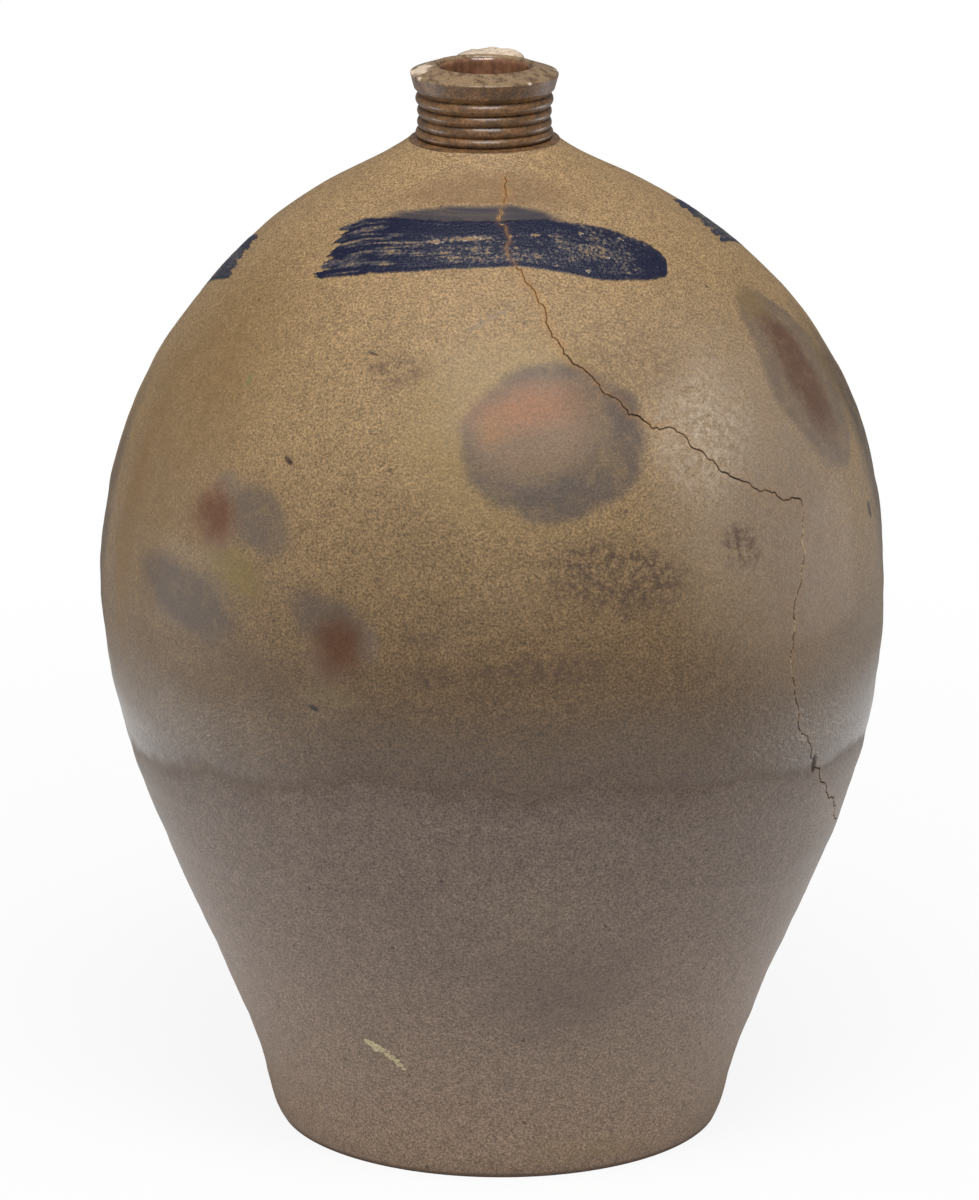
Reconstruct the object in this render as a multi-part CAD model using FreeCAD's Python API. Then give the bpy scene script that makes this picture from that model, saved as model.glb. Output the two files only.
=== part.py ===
"""An ovoid salt-glazed stoneware jug of about four US gallons, built as the potter built it.

Frame: +Z up, the foot stands on Z = 0 and the origin is under the middle of the belly. The decorated
front faces -Y, the handle is at the back on +Y, and +X is to the right of someone facing the front.
Lengths are millimetres. The pot was thrown by hand, so the centre of its rings drifts a little in X.
"""

import FreeCAD, Part
import math
import os

from FreeCAD import Vector

# ---- driving dimensions ---------------------------------------------------------------------------
TOTAL_H = 420.0  # foot to the inner edge of the lip
BELLY_R = 152.5  # widest radius
BELLY_Z = 222.0
FOOT_R = 86.5  # where the rounded foot edge meets the ground
FLOOR_T = 12.0  # thickness of the thrown floor
FLOOR_R = 78.0  # the floor disc fills the lower wall to this radius
JOIN_Z = 141.0  # the lower and upper throws are luted together here
SPOUT_Z = 391.0  # the spout is luted onto the top of the shoulder here
WALL_FOOT_T = 11.0  # wall thickness, measured square to the wall
WALL_BELLY_T = 8.5
WALL_SHOULDER_T = 7.5
BASE_DRIFT = 2.7  # X of the foot's centre
NECK_X = -2.8  # X of the neck's axis

BORE_R = 17.3  # the mouth, inside its slip lining
LINING_T = 0.6  # brown slip poured round the inside
CLAY_BORE_R = BORE_R + LINING_T
THROAT_Z = 394.0  # the straight bore starts here
BORE_TOP_Z = TOTAL_H - 1.5  # and ends under the rounded inner edge of the lip

LIP_R = 28.4  # the lip's sharp outer edge
LIP_EDGE_Z = 417.2  # the lip's top falls outwards to this height
LIP_BOTTOM_R = 26.9
LIP_BOTTOM_Z = 410.6
NECK_R = 25.0  # bottom of the grooves in the reeded neck
REED_COUNT = 4  # tooled ridges under the lip
REED_PITCH = 4.3
REED_DEPTH = 1.1

STROKE_T = 0.5  # height of the cobalt slip above the surface
STROKE_W = 17.0  # width of each brush stroke at its middle
FRONT_STROKE_HALF_L = 68.0  # half length, seen square on
FRONT_STROKE_Z = 367.5  # height of its middle
SIDE_STROKE_HALF_L = 38.0  # the two side strokes are shorter,
SIDE_STROKE_SLOPE = 26.0  # fall this many degrees towards the back,
LEFT_STROKE_TURN = -101.0  # and sit this many degrees round from the front one
RIGHT_STROKE_TURN = 109.0
LEFT_STROKE_Z = 350.0
RIGHT_STROKE_Z = 360.0

HANDLE_X = -1.0
STRAP_W = 27.0
STRAP_T = 10.0

# Outer surface of the thrown body: height, radius and X drift of each ring.
OUTER_RINGS = [
    (0.0, FOOT_R, BASE_DRIFT),
    (4.0, 88.7, BASE_DRIFT),
    (10.0, 90.5, BASE_DRIFT),
    (26.0, 94.4, 2.9),
    (40.0, 99.4, 2.9),
    (62.0, 108.0, 2.7),
    (92.0, 121.0, 2.7),
    (126.0, 134.7, 2.5),
    (160.0, 145.3, 1.6),
    (193.0, 151.2, 0.7),
    (BELLY_Z, BELLY_R, 0.0),
    (252.0, 149.5, 0.5),
    (282.0, 141.6, 1.0),
    (311.0, 127.0, 1.2),
    (336.0, 107.4, 0.8),
    (355.0, 87.0, -0.8),
    (370.0, 65.0, -2.2),
    (380.0, 45.9, NECK_X),
    (388.0, 32.4, NECK_X),
    (393.0, 26.0, NECK_X),
]


def wall_thickness(z):
    """Wall thickness at height z: thick at the foot, thinner over the belly and the shoulder."""
    if z < BELLY_Z:
        return WALL_FOOT_T + (WALL_BELLY_T - WALL_FOOT_T) * z / BELLY_Z
    rest = (z - BELLY_Z) / (TOTAL_H - BELLY_Z)
    return WALL_BELLY_T + (WALL_SHOULDER_T - WALL_BELLY_T) * rest


def shifted_rings(rings, distance):
    """The rings moved square to the surface: outwards for a positive distance, inwards for a negative one.

    distance is a number or a function of the ring's height.
    """
    moved = []
    for index, (z, r, drift) in enumerate(rings):
        z_before, r_before, _ = rings[max(index - 1, 0)]
        z_after, r_after, _ = rings[min(index + 1, len(rings) - 1)]
        along = math.hypot(z_after - z_before, r_after - r_before)
        step = distance(z) if callable(distance) else distance
        out_r = (z_after - z_before) / along
        out_z = -(r_after - r_before) / along
        moved.append((z + step * out_z, r + step * out_r, drift))
    return moved


def ring_at(z):
    """Radius and X drift of the outer surface at height z, in line between the two nearest rings."""
    for below, above in zip(OUTER_RINGS, OUTER_RINGS[1:]):
        if below[0] <= z <= above[0]:
            share = (z - below[0]) / (above[0] - below[0])
            radius = below[1] + share * (above[1] - below[1])
            drift = below[2] + share * (above[2] - below[2])
            return radius, drift
    raise ValueError(f"no ring at height {z}")


def thrown(rings):
    """A closed solid lofted through the horizontal rings."""
    wires = []
    for z, r, drift in rings:
        circle = Part.makeCircle(r, Vector(drift, 0, z), Vector(0, 0, 1))
        wires.append(Part.Wire([circle]))
    return Part.makeLoft(wires, True, False)


def slab(z_low, z_high):
    """A block that holds everything of the jug between two heights."""
    half = 2 * BELLY_R
    return Part.makeBox(2 * half, 2 * half, z_high - z_low, Vector(-half, -half, z_low))


def turned(points, x_axis):
    """A solid turned about the vertical line at x_axis; points are radius and height, closed on the axis."""
    corners = [Vector(x_axis + r, 0, z) for r, z in points]
    face = Part.Face(Part.makePolygon(corners + corners[:1]))
    return face.revolve(Vector(x_axis, 0, 0), Vector(0, 0, 1), 360)


def arc(start, middle, end):
    """An arc edge through three points."""
    return Part.Arc(start, middle, end).toShape()


def line(start, end):
    """A straight edge between two points."""
    return Part.LineSegment(start, end).toShape()


# ---- the thrown body ------------------------------------------------------------------------------
def cavity(lining):
    """The room inside the body, from the floor to the throat, less a lining of the given thickness."""
    inner = [ring for ring in OUTER_RINGS if ring[0] > 2 * FLOOR_T]
    inner = shifted_rings(inner, lambda z: -wall_thickness(z) - lining)
    above_floor = (FLOOR_T + lining, FLOOR_R - lining, BASE_DRIFT)
    throat = (THROAT_Z, CLAY_BORE_R - lining + 0.4, NECK_X)
    body = [ring for ring in inner if ring[0] < SPOUT_Z]
    return thrown([above_floor] + body + [throat])


def bore(radius):
    """The straight mouth, from the throat up through the lip."""
    height = TOTAL_H - THROAT_Z + 10
    return Part.makeCylinder(radius, height, Vector(NECK_X, 0, THROAT_Z - 2))


def base_floor():
    """The opened floor of the lower throw, wire-cut flat underneath."""
    return Part.makeCylinder(FLOOR_R, FLOOR_T, Vector(BASE_DRIFT, 0, 0))


def join_tongue():
    """The pointed rim of the upper throw, which sits in the grooved rim of the lower one."""
    outer_r, drift = ring_at(JOIN_Z)
    middle_r = outer_r - wall_thickness(JOIN_Z) / 2
    half_w = 2.2
    depth = 3.0
    rim = [(middle_r - half_w, JOIN_Z), (middle_r + half_w, JOIN_Z), (middle_r, JOIN_Z - depth)]
    return turned(rim, drift)


def body_walls(outer, room):
    """The lower wall and the upper wall, which meet at the luted join."""
    shell = outer.cut(room)
    lower = shell.common(slab(0, JOIN_Z)).cut(base_floor()).cut(join_tongue())
    upper = shell.common(slab(JOIN_Z, SPOUT_Z)).fuse(join_tongue())
    return lower, upper.removeSplitter()


# ---- the spout ------------------------------------------------------------------------------------
def neck_profile():
    """The spout's outline: from the axis at its root, up the reeded outside, over the lip and back."""

    def at(r, z):
        return Vector(NECK_X + r, 0, z)

    reed_top = LIP_BOTTOM_Z - 0.6
    edges = [line(at(0, SPOUT_Z - 4), at(NECK_R, SPOUT_Z - 4))]
    reed_bottom = reed_top - REED_COUNT * REED_PITCH
    edges.append(line(at(NECK_R, SPOUT_Z - 4), at(NECK_R, reed_bottom)))
    for reed in range(REED_COUNT):
        z = reed_bottom + reed * REED_PITCH
        crest = at(NECK_R + REED_DEPTH, z + REED_PITCH / 2)
        edges.append(arc(at(NECK_R, z), crest, at(NECK_R, z + REED_PITCH)))
    edges.append(line(at(NECK_R, reed_top), at(LIP_BOTTOM_R, LIP_BOTTOM_Z)))
    edges.append(line(at(LIP_BOTTOM_R, LIP_BOTTOM_Z), at(LIP_R, LIP_EDGE_Z)))
    edges.append(line(at(LIP_R, LIP_EDGE_Z), at(CLAY_BORE_R + 1.2, TOTAL_H)))
    inner_edge = at(CLAY_BORE_R + 0.35, TOTAL_H - 0.35)
    edges.append(arc(at(CLAY_BORE_R + 1.2, TOTAL_H), inner_edge, at(CLAY_BORE_R, BORE_TOP_Z)))
    edges.append(line(at(CLAY_BORE_R, BORE_TOP_Z), at(0, BORE_TOP_Z)))
    edges.append(line(at(0, BORE_TOP_Z), at(0, SPOUT_Z - 4)))
    return Part.Face(Part.Wire(edges))


def reeded_spout(outer, room):
    """The neck and lip: a ring on top of the shoulder, with tooled ridges under the lip."""
    neck = neck_profile().revolve(Vector(NECK_X, 0, 0), Vector(0, 0, 1), 360)
    flare = outer.common(slab(SPOUT_Z, OUTER_RINGS[-1][0]))
    solid = flare.fuse(neck.common(slab(SPOUT_Z, TOTAL_H + 1)))
    return solid.cut(room).cut(bore(CLAY_BORE_R)).removeSplitter()


def slip_lining(room, lined_room):
    """The brown slip swilled round the inside and up through the mouth: it is what holds the drink."""
    full = room.fuse(bore(CLAY_BORE_R).common(slab(THROAT_Z - 2, BORE_TOP_Z)))
    empty = lined_room.fuse(bore(BORE_R))
    return full.cut(empty).removeSplitter()


# ---- the handle -----------------------------------------------------------------------------------
# Centre line of the strap: Y, Z, width and thickness. It springs from the neck and lands on the shoulder.
STRAP_STATIONS = [
    (19.0, 398.5, STRAP_W + 1, STRAP_T + 2),
    (31.0, 404.0, STRAP_W, STRAP_T + 1),
    (44.0, 410.2, STRAP_W, STRAP_T),
    (58.0, 410.2, STRAP_W, STRAP_T),
    (71.0, 401.5, STRAP_W, STRAP_T),
    (81.0, 387.0, STRAP_W, STRAP_T - 0.5),
    (87.0, 370.0, STRAP_W + 1, STRAP_T - 1),
    (89.5, 350.0, STRAP_W + 3, STRAP_T - 1),
]


def strap_section(before, station, after):
    """An oval across the strap at one station, square to the line between its neighbours."""
    y, z, width, thickness = station
    along = Vector(0, after[0] - before[0], after[1] - before[1]).normalize()
    centre = Vector(HANDLE_X, y, z)
    across = centre + Vector(width / 2, 0, 0)
    through = centre + along.cross(Vector(1, 0, 0)) * (thickness / 2)
    return Part.Wire([Part.Ellipse(across, through, centre).toShape()])


def strap_bar():
    """The whole pulled strap, with its ends still buried in the neck and the shoulder."""
    last = len(STRAP_STATIONS) - 1
    sections = []
    for index, station in enumerate(STRAP_STATIONS):
        before = STRAP_STATIONS[max(index - 1, 0)]
        after = STRAP_STATIONS[min(index + 1, last)]
        sections.append(strap_section(before, station, after))
    return Part.makeLoft(sections, True, False)


def pressed_clay(centre, radii, tilt):
    """A lump of soft clay pressed to an ellipsoid, tipped about the X axis by tilt degrees."""
    ball = Part.makeSphere(1.0)
    stretch = FreeCAD.Matrix()
    stretch.scale(*radii)
    lump = ball.transformGeometry(stretch)
    lump.rotate(Vector(0, 0, 0), Vector(1, 0, 0), tilt)
    lump.translate(centre)
    return lump


def handle_parts(outer, spout):
    """The strap, the wad packed under its root at the neck, and the pad under its lower end."""
    core = outer.fuse(Part.makeCylinder(CLAY_BORE_R + 1, TOTAL_H - SPOUT_Z, Vector(NECK_X, 0, SPOUT_Z)))
    bar = strap_bar()
    strap = bar.cut(core).cut(spout)
    wad = pressed_clay(Vector(HANDLE_X, 29, 393.5), (12.5, 9.0, 7.0), 40)
    wad = wad.cut(core).cut(spout).cut(bar)
    pad = pressed_clay(Vector(HANDLE_X, 90.5, 351.5), (21.0, 19.0, 6.5), -43)
    pad = pad.cut(core).cut(bar)
    return strap, wad, pad


# ---- the cobalt decoration ------------------------------------------------------------------------
def stroke_prism(half_l, turn, middle_z, slope):
    """A block with the outline of one brush stroke, reaching from outside in to the axis.

    Seen from outside, the stroke is bowed upwards, with a pointed left end and a rounded right one.
    """
    reach = 2 * BELLY_R

    def at(along, up):
        return Vector(along * half_l, -reach, up * STROKE_W)

    left_low = at(-1.05, -1.0)
    left_high = at(-0.88, -0.2)
    right_high = at(0.86, -0.3)
    right_low = at(0.86, -0.95)
    outline = Part.Wire(
        [
            line(left_low, left_high),
            arc(left_high, at(0, 0.5), right_high),
            arc(right_high, at(0.96, -0.6), right_low),
            arc(right_low, at(0, -0.5), left_low),
        ]
    )
    block = Part.Face(outline).extrude(Vector(0, reach, 0))
    block.rotate(Vector(0, 0, 0), Vector(0, 1, 0), -slope)
    block.translate(Vector(0, 0, middle_z))
    block.rotate(Vector(0, 0, 0), Vector(0, 0, 1), turn)
    return block


def cobalt_stroke(skin, half_l, turn, middle_z, slope):
    """A raised layer of cobalt slip in the outline of a brush stroke, turned round the shoulder."""
    return skin.common(stroke_prism(half_l, turn, middle_z, slope))


def side_stroke(skin, turn, middle_z):
    """A shorter stroke on the side of the shoulder, falling towards the back."""
    slope = math.copysign(SIDE_STROKE_SLOPE, -turn)
    return cobalt_stroke(skin, SIDE_STROKE_HALF_L, turn, middle_z, slope)


def build():
    """All the named pieces of the jug."""
    outer = thrown(OUTER_RINGS)
    room = cavity(0)
    lined_room = cavity(LINING_T)
    skin = thrown(shifted_rings(OUTER_RINGS, STROKE_T)).cut(outer)
    lower, upper = body_walls(outer, room)
    spout = reeded_spout(outer, room)
    strap, wad, pad = handle_parts(outer, spout)
    return {
        "base_floor": base_floor(),
        "lower_wall": lower,
        "upper_wall": upper,
        "reeded_spout": spout,
        "slip_lining": slip_lining(room, lined_room),
        "handle_strap": strap,
        "handle_upper_wad": wad,
        "handle_lower_pad": pad,
        "cobalt_stroke_front": cobalt_stroke(skin, FRONT_STROKE_HALF_L, 0, FRONT_STROKE_Z, 0),
        "cobalt_stroke_left": side_stroke(skin, LEFT_STROKE_TURN, LEFT_STROKE_Z),
        "cobalt_stroke_right": side_stroke(skin, RIGHT_STROKE_TURN, RIGHT_STROKE_Z),
    }


def main():
    os.makedirs("parts", exist_ok=True)
    for name, shape in build().items():
        box = shape.optimalBoundingBox()
        size = f"{box.XLength:.1f} x {box.YLength:.1f} x {box.ZLength:.1f} mm"
        volume = f"{shape.Volume / 1000:.1f} cm3"
        print(f"{name}: {len(shape.Solids)} solid, valid {shape.isValid()}, {volume}, {size}")
        shape.exportStep(f"parts/{name}.step")


main()
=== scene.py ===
# %% [markdown]
# # An ovoid salt-glazed stoneware jug
# This lesson dresses a measured model of an old stoneware jug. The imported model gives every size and
# place; here each piece of clay is modelled again with its finger rings, tool marks, chips and crack,
# and gets a salt glaze, a brown slip or a cobalt wash made of shader nodes.
# Work in Blender is in metres. The jug stands on Z = 0, its decorated front looks towards -Y, and its
# handle is behind the neck, on +Y.

# %% Load the measured jug
import math
import random

import bpy
import numpy as np
from mathutils import Matrix, Vector, noise


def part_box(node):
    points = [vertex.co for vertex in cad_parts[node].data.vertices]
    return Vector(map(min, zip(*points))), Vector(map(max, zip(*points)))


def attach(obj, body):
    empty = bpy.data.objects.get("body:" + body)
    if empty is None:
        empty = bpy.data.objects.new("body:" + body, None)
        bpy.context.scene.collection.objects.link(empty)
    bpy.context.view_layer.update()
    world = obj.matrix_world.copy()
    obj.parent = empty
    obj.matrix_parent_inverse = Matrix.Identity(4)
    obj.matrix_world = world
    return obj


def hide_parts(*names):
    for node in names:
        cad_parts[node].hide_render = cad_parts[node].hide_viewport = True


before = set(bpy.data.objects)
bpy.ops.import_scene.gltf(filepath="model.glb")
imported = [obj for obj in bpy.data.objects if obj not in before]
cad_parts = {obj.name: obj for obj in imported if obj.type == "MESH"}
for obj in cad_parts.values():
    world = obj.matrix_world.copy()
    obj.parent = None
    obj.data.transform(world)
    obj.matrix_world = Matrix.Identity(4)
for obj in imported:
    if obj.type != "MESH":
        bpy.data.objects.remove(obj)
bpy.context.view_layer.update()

MM = 0.001

# %% [markdown]
# ## The camera and the studio
# A long lens some two and a half metres away keeps the jug's proportions calm. The camera looks a little
# down, so the lip shows as a thin ellipse and the foot as a deep curve. The camera needs no tilt
# sideways and no lens shift.
# The jug stands on a white floor in front of a white sky. A low soft box on each side gives both flanks a
# soft sheen while the middle of the lower wall stays darker, and a large box high in front lights the
# shoulder. The floor close beside the jug looks white in the glaze, so the lower flanks shine a little.

# %% Set up the camera
CAMERA_PLACE = (-0.0009, -2.6518, 0.9547)
CAMERA_DOWN = math.radians(15.744)
LENS = 211.9

camera_data = bpy.data.cameras.new("camera")
camera_data.lens = LENS
camera = bpy.data.objects.new("camera", camera_data)
camera.location = CAMERA_PLACE
camera.rotation_euler = (math.radians(90) - CAMERA_DOWN, 0, 0)
bpy.context.scene.collection.objects.link(camera)
bpy.context.scene.camera = camera
bpy.context.scene.view_settings.view_transform = "Standard"

# %% [markdown]
# ## Writing nodes
# Every surface here is made of shader nodes, so four short helpers write them: one adds a node, one does a
# sum, one lays a colour over another and one makes a smooth step. A value that is itself a socket of
# another node becomes a link, so a chain of nodes reads like a formula.

# %% Node helpers
def add_node(tree, kind, inputs=None, **settings):
    """Adds a node, sets its settings and fills its inputs, by name or by number."""
    node = tree.nodes.new(kind)
    for name, value in settings.items():
        setattr(node, name, value)
    for name, value in (inputs or {}).items():
        socket = node.inputs[name]
        if isinstance(value, bpy.types.NodeSocket):
            tree.links.new(value, socket)
        else:
            socket.default_value = value
    return node


def calc(tree, operation, a, b=0.0, clamp=False):
    """One sum of two numbers."""
    node = add_node(tree, "ShaderNodeMath", {0: a, 1: b}, operation=operation, use_clamp=clamp)
    return node.outputs[0]


def blend_colours(tree, amount, first, second, mode="MIX"):
    """Lays the second colour over the first by an amount from 0 to 1."""
    inputs = {0: amount, 6: first, 7: second}
    node = add_node(tree, "ShaderNodeMix", inputs, data_type="RGBA", blend_type=mode)
    return node.outputs[2]


def ramp(tree, value, low, high, to_low=0.0, to_high=1.0):
    """A smooth step from to_low to to_high as the value goes from low to high."""
    inputs = {"Value": value, "From Min": low, "From Max": high, "To Min": to_low, "To Max": to_high}
    node = add_node(tree, "ShaderNodeMapRange", inputs, interpolation_type="SMOOTHSTEP")
    return node.outputs["Result"]


# %% The floor
FLOOR_SIZE = 8.0

bpy.ops.object.select_all(action="DESELECT")
bpy.ops.mesh.primitive_plane_add(size=FLOOR_SIZE)
floor = bpy.context.object
floor.name = "floor"

paper = bpy.data.materials.new("studio_paper")
paper.use_nodes = True
tree = paper.node_tree
tree.nodes.clear()
dull = add_node(tree, "ShaderNodeBsdfDiffuse", {"Color": (0.80, 0.80, 0.80, 1)})
glow = add_node(tree, "ShaderNodeEmission", {"Color": (1, 1, 1, 1), "Strength": 1.0})
rays = add_node(tree, "ShaderNodeLightPath")
place = add_node(tree, "ShaderNodeTexCoord").outputs["Object"]
away = add_node(tree, "ShaderNodeVectorMath", {0: place}, operation="LENGTH").outputs["Value"]
share = ramp(tree, away, 0.25, 0.9, 0.90, 1.0)
beside = calc(tree, "ABSOLUTE", add_node(tree, "ShaderNodeSeparateXYZ", {0: place}).outputs["X"])
beside = calc(tree, "MULTIPLY", ramp(tree, beside, 0.09, 0.22), ramp(tree, away, 0.28, 0.5, 1.0, 0.0))
mirrored = calc(tree, "MULTIPLY", rays.outputs["Is Glossy Ray"], beside)
seen = calc(tree, "ADD", calc(tree, "MULTIPLY", rays.outputs["Is Camera Ray"], share), mirrored, True)
mixed = add_node(tree, "ShaderNodeMixShader", {0: seen, 1: dull.outputs[0], 2: glow.outputs[0]})
add_node(tree, "ShaderNodeOutputMaterial", {"Surface": mixed.outputs[0]})
floor.data.materials.append(paper)

# %% The sky
world = bpy.data.worlds.new("white_sky")
world.use_nodes = True
tree = world.node_tree
tree.nodes.clear()
rays = add_node(tree, "ShaderNodeLightPath")
seen = calc(tree, "MAXIMUM", rays.outputs["Is Camera Ray"], rays.outputs["Is Transmission Ray"])
strength = ramp(tree, seen, 0.0, 1.0, 0.20, 1.0)
sky = add_node(tree, "ShaderNodeBackground", {"Color": (1, 1, 1, 1), "Strength": strength})
add_node(tree, "ShaderNodeOutputWorld", {"Surface": sky.outputs[0]})
bpy.context.scene.world = world


# %% The lights
def soft_box(name, place, aim, width, height, watts):
    """A rectangular studio light that faces a point."""
    data = bpy.data.lights.new(name, "AREA")
    data.shape = "RECTANGLE"
    data.size = width
    data.size_y = height
    data.energy = watts
    lamp = bpy.data.objects.new(name, data)
    lamp.location = place
    lamp.rotation_euler = (Vector(aim) - Vector(place)).to_track_quat("-Z", "Y").to_euler()
    bpy.context.scene.collection.objects.link(lamp)


middle = (0, 0, 0.2)
low_middle = (0, 0, 0.08)
soft_box("left_box", (-0.95, 0.02, 0.06), low_middle, 0.5, 0.4, 4.2)
soft_box("right_box", (0.9, 0.30, 0.06), low_middle, 0.5, 0.4, 3.6)
soft_box("top_box", (0.05, -0.95, 2.0), middle, 1.2, 0.8, 46)

# %% [markdown]
# ## Measuring the thrown walls
# The body was thrown on a wheel in two halves, so every level cut through it is a ring. Rays shot from all
# sides at one height find the ring's radius and its centre, because the wheel did not run quite true and
# the rings drift sideways by up to three millimetres. Measuring at some forty heights and drawing a smooth
# line through them keeps the visual wall on the measured wall.

# %% Measure rings of the walls
RAYS = 48


def ring_of(node, height, from_inside=False):
    """Radius and X centre of a round node at one height, in metres."""
    hits = []
    for step in range(RAYS):
        turn = 2 * math.pi * step / RAYS
        outwards = Vector((math.cos(turn), math.sin(turn), 0))
        start = Vector((0, 0, height))
        if not from_inside:
            start += outwards * 0.3
        found, place, _, _ = node.ray_cast(start, outwards if from_inside else -outwards)
        if found:
            hits.append(place)
    across = [place.x for place in hits]
    centre = (min(across) + max(across)) / 2
    radius = sum(math.hypot(place.x - centre, place.y) for place in hits) / len(hits)
    return radius, centre


def smooth_line(known, values):
    """A function that runs smoothly through the values measured at the known heights."""
    known = np.array(known)
    values = np.array(values)
    slopes = np.gradient(values, known)

    def at(height):
        height = np.clip(height, known[0], known[-1])
        i = np.clip(np.searchsorted(known, height) - 1, 0, len(known) - 2)
        gap = known[i + 1] - known[i]
        t = (height - known[i]) / gap
        start = (2 * t**3 - 3 * t**2 + 1) * values[i] + (t**3 - 2 * t**2 + t) * gap * slopes[i]
        end = (3 * t**2 - 2 * t**3) * values[i + 1] + (t**3 - t**2) * gap * slopes[i + 1]
        return start + end

    return at


lower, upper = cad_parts["lower_wall"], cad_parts["upper_wall"]
join_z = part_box("lower_wall")[1].z
shoulder_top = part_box("upper_wall")[1].z
floor_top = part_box("base_floor")[1].z

foot_heights = [0.3, 1.5, 4, 7, 11, 16, 22, 29]
wall_heights = [*foot_heights, *range(38, 140, 11), *range(150, 380, 11), 384, 388]
heights = [height * MM for height in wall_heights] + [shoulder_top - 0.3 * MM]
rings = [ring_of(lower if height < join_z else upper, height) for height in heights]
outer_radius = smooth_line(heights, [radius for radius, _ in rings])
drift = smooth_line(heights, [centre for _, centre in rings])

inner_heights = [height for height in heights if height > floor_top + 1 * MM]
inner_rings = [ring_of(lower if height < join_z else upper, height, True) for height in inner_heights]
inner_radius = smooth_line(inner_heights, [radius for radius, _ in inner_rings])
print("widest radius, mm:", round(1000 * max(radius for radius, _ in rings), 1))


def on_wall(azimuth, height, lift=0.0):
    """A point on the outer wall. Azimuth is in degrees from the front, towards +X."""
    turn = math.radians(azimuth)
    radius = float(outer_radius(height)) + lift
    return Vector((float(drift(height)) + radius * math.sin(turn), -radius * math.cos(turn), height))


# %% [markdown]
# ## The potter's hand
# A wheel-thrown wall is never a perfect curve. Fingers leave shallow spiral rings, drying leaves slow lobes
# round the pot, and where the two halves were luted together a soft ridge stays. All of this is well under
# half a millimetre, but a glaze shows it in every reflection, so it is put into the mesh and not only into
# a bump map.

# %% Finger rings, lobes and the ridge of the join
random.seed(4)
finger_rings = []
for wavelength in (7.5, 11, 16, 25, 41):
    finger_rings.append((wavelength * MM, random.uniform(0, 6.28), 0.0035 * wavelength * MM))


def hand_marks(azimuth, height):
    """How far the thrown skin stands off the true curve. Azimuth is in radians; both may be arrays."""
    off = 0.25 * MM * np.sin(2 * azimuth + 0.7) + 0.12 * MM * np.sin(3 * azimuth + height * 20)
    for wavelength, phase, size in finger_rings:
        off = off + size * np.sin(2 * math.pi * height / wavelength + azimuth + phase)
    ridge_z = join_z + (9 + 3 * np.sin(azimuth + 1)) * MM
    off = off + 0.32 * MM * np.exp(-(((height - ridge_z) / (4.5 * MM)) ** 2))
    return off


# %% [markdown]
# ## The age crack
# An old firing crack wanders from under the neck, through the brush stroke, across the shoulder and down
# the right flank, where a flake of glaze is missing. Its route is a short list of places on the wall.
# Between them each stretch is halved again and again with a small sideways jog, which is how a real crack
# runs through gritty clay.

# %% The crack's route
CRACK_STOPS = [
    (11.5, 384), (8, 377), (6.5, 366), (8.5, 358), (10.5, 351), (11.5, 341), (14.5, 330), (19, 320),
    (23, 311), (26.5, 306), (31.5, 303), (34.5, 296), (41, 283), (47, 276.5), (52.5, 271), (52, 264),
    (48.5, 235), (48, 204), (49.5, 192), (53.5, 175), (55.5, 166), (59, 156), (68, 141), (77, 126),
]
FLAKE = (55.5, 166)  # azimuth in degrees and height in mm of the missing flake


def wander(points, rounds, jog):
    """Halves every stretch again and again, moving each new point sideways a little."""
    for _ in range(rounds):
        finer = [points[0]]
        for start, end in zip(points, points[1:]):
            middle = (start + end) / 2
            side = (end - start).cross(Vector((middle.x, middle.y, 0))).normalized()
            middle += side * random.uniform(-jog, jog) * (end - start).length
            azimuth = math.degrees(math.atan2(middle.x - float(drift(middle.z)), -middle.y))
            finer += [on_wall(azimuth, middle.z), end]
        points = finer
    return points


crack_route = wander([on_wall(azimuth, z * MM) for azimuth, z in CRACK_STOPS], 4, 0.16)
crack_points = np.array([list(point) for point in crack_route])
print("points on the crack:", len(crack_points))


def distance_to_crack(points):
    """Distance of each point from the nearest stretch of the crack, and how far down its route that is."""
    nearest = np.full(len(points), 1.0)
    along = np.zeros(len(points))
    for i, (start, end) in enumerate(zip(crack_points, crack_points[1:])):
        box_low = np.minimum(start, end) - 8 * MM
        box_high = np.maximum(start, end) + 8 * MM
        near = np.where(np.all((points > box_low) & (points < box_high), axis=1))[0]
        if len(near) == 0:
            continue
        run = end - start
        t = np.clip((points[near] - start) @ run / (run @ run), 0, 1)
        gap = np.linalg.norm(points[near] - start - t[:, None] * run, axis=1)
        closer = gap < nearest[near]
        nearest[near[closer]] = gap[closer]
        along[near[closer]] = (i + t[closer]) / (len(crack_points) - 1)
    return nearest, along


# %% [markdown]
# ## Turning a piece on the wheel
# Every thrown piece starts as one point that is extruded along the wall's outline, up the outside and down
# the inside. Spinning the outline round the axis then gives a closed skin, as a template does when it is
# held against turning clay.

# %% Edit-mode helpers and the wheel
def activate(piece):
    """Leaves one object selected and active."""
    bpy.ops.object.select_all(action="DESELECT")
    piece.select_set(True)
    bpy.context.view_layer.objects.active = piece


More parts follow.
